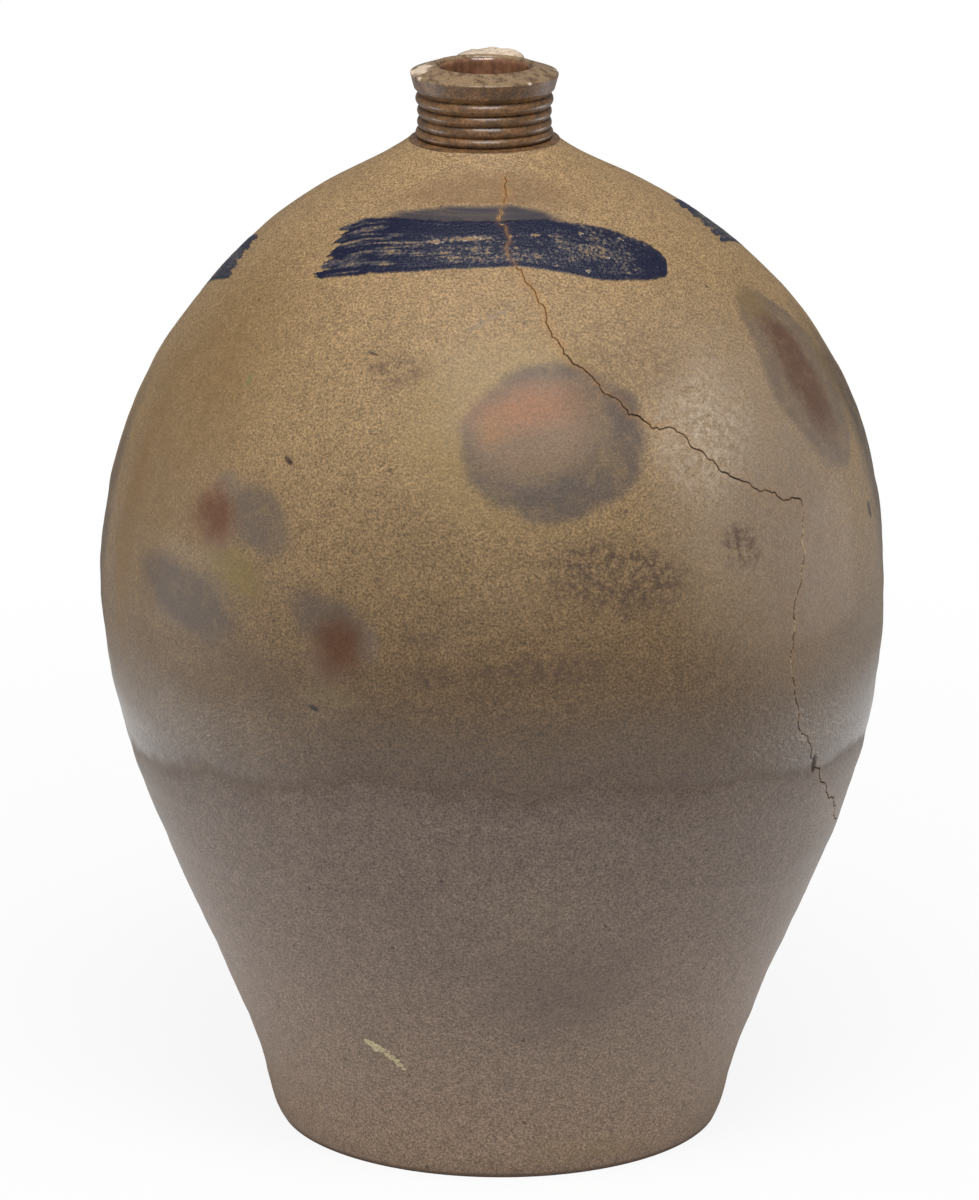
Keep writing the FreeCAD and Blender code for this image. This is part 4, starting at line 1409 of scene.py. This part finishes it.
# %% The brown slip
slip_brown, tree, vector = new_material("brown_slip_glaze")
stretched = add_node(tree, "ShaderNodeMapping", {"Vector": vector, "Scale": (1, 1, 0.25)}).outputs[0]
runs = grain_of(tree, stretched, 0.006, 4, 0.55)
colour = bands(tree, runs, [
    (0.30, (0.10, 0.042, 0.022)), (0.50, (0.20, 0.095, 0.055)), (0.68, (0.33, 0.155, 0.075)),
])
fine = grain_of(tree, vector, 0.0014, 3)
colour = brighten(tree, colour, ramp(tree, fine, 0.3, 0.7, 0.85, 1.15))
rough = ramp(tree, runs, 0.3, 0.7, 0.30, 0.18)
finish_material(tree, colour, rough, runs, 0.5 * MM, 0.5, 0.1)
lining.data.materials.append(slip_brown)

# %% The bare foot
bare_clay, tree, vector = new_material("bare_fired_clay")
toast = grain_of(tree, vector, 0.03, 4)
colour = bands(tree, toast, [
    (0.32, (0.42, 0.33, 0.235)), (0.52, (0.36, 0.255, 0.165)), (0.70, (0.30, 0.165, 0.085)),
])
grit = grain_of(tree, vector, 0.0012, 3, 0.65)
colour = brighten(tree, colour, ramp(tree, grit, 0.3, 0.7, 0.78, 1.16))
finish_material(tree, colour, ramp(tree, grit, 0.3, 0.7, 0.95, 0.75), grit, 0.5 * MM)
base.data.materials.append(bare_clay)

# %% The lime
chalky, tree, vector = new_material("lime_crumb")
powder = grain_of(tree, vector, 0.0006, 3)
colour = bands(tree, powder, [(0.35, (0.34, 0.27, 0.15)), (0.60, (0.60, 0.52, 0.33))])
finish_material(tree, colour, ramp(tree, powder, 0.3, 0.7, 0.9, 0.7), powder, 0.2 * MM)
lime.data.materials.append(chalky)

# %% [markdown]
# ## Cobalt
# Cobalt is nearly black-blue where the brush left it thick, grey-blue where it is thin, and the clay shows
# through between bristles. The UV map runs along and across the stroke, so noise stretched along U gives
# the bristle streaks, and sandy noise breaks them up. Where the coat fades out it takes the wall's own glaze.

# %% The cobalt material
NAVY, BLUE_GREY = (0.0030, 0.0045, 0.024, 1), (0.050, 0.048, 0.060, 1)
cobalt, tree, vector = new_material("cobalt_slip")
base_glaze = place_group(tree, glaze, {"Vector": vector})
uv = add_node(tree, "ShaderNodeUVMap", uv_map="UVMap").outputs[0]
uv_parts = add_node(tree, "ShaderNodeSeparateXYZ", {0: uv})
along, across = uv_parts.outputs["X"], uv_parts.outputs["Y"]
brush_space = add_node(tree, "ShaderNodeMapping", {"Vector": uv, "Scale": (45, 13, 1)}).outputs[0]
streak = grain_of(tree, brush_space, 1.0, 5, 0.6)
sand = grain_of(tree, vector, 0.0013, 4, 0.7)
dry = ramp(tree, along, -0.055, 0.02, 1.0, 0.35)
sandy = ramp(tree, along, -0.055, -0.01, 0.45, 1.0)
density = calc(tree, "MULTIPLY", calc(tree, "SUBTRACT", streak, 0.5), calc(tree, "MULTIPLY", dry, 2.4))
sand = calc(tree, "MULTIPLY", calc(tree, "SUBTRACT", sand, 0.5), calc(tree, "MULTIPLY", sandy, 2.0))
density = calc(tree, "ADD", density, sand)
full_end = ramp(tree, along, 0.052, 0.061, 0.0, 0.30)
low_edge = ramp(tree, across, 0.02, 0.17, 0.30, 0.0)
top_pool = ramp(tree, along, 0.012, 0.034, 1.0, 0.0)
top_pool = calc(tree, "MULTIPLY", top_pool, ramp(tree, along, -0.045, -0.022))
top_pool = calc(tree, "MULTIPLY", top_pool, ramp(tree, across, 0.64, 0.80, 0.0, 0.42))
patches = calc(tree, "MULTIPLY", calc(tree, "SUBTRACT", grain_of(tree, vector, 0.009, 3), 0.5), sandy)
density = calc(tree, "ADD", density, calc(tree, "MULTIPLY", patches, 0.9))
pools = calc(tree, "ADD", full_end, calc(tree, "ADD", low_edge, top_pool))
density = calc(tree, "ADD", calc(tree, "ADD", density, 0.53), pools)
paint_colour = blend_colours(tree, ramp(tree, density, 0.44, 0.56), BLUE_GREY, NAVY)
thin = ramp(tree, density, 0.22, 0.36, 0.75, 0.0)
paint_colour = blend_colours(tree, thin, paint_colour, base_glaze["Color"])
haze = calc(tree, "MULTIPLY", attribute(tree, "haze"), ramp(tree, streak, 0.35, 0.6, 0.85, 1.0))
colour = blend_colours(tree, haze, base_glaze["Color"], (0.040, 0.035, 0.042, 1))
cover = attribute(tree, "cover")
colour = blend_colours(tree, cover, colour, paint_colour)

# %% The cobalt's blisters and their painted glints, crack and relief
blister = attribute(tree, "blister")
colour = blend_colours(tree, ramp(tree, blister, 0.35, 0.80, 0, 0.85), colour, (0.27, 0.165, 0.085, 1))
# Pale specks round the rims of the blisters are painted glints, highlights of light on the cobalt.
painted_glint_rim = calc(tree, "MULTIPLY", ramp(tree, blister, 0.08, 0.30), ramp(tree, blister, 0.45, 0.65, 1.0, 0.0))
painted_glint_rim = calc(tree, "MULTIPLY", painted_glint_rim, ramp(tree, grain_of(tree, vector, 0.0012, 2), 0.52, 0.60))
colour = blend_colours(tree, calc(tree, "MULTIPLY", painted_glint_rim, 0.6), colour, (0.60, 0.56, 0.50, 1))
colour = cracked(tree, colour, vector)
rough = calc(tree, "SUBTRACT", base_glaze["Roughness"], calc(tree, "MULTIPLY", cover, 0.20))
height = calc(tree, "MULTIPLY", calc(tree, "MULTIPLY", density, cover), 0.5)
height = calc(tree, "ADD", height, base_glaze["Height"])
gloss = calc(tree, "ADD", base_glaze["Gloss"], calc(tree, "MULTIPLY", cover, 0.12))
finish_material(tree, colour, rough, height, 0.5 * MM, gloss, 0.16)
for piece in (front_stroke, *side_strokes):
    piece.data.materials.append(cobalt)
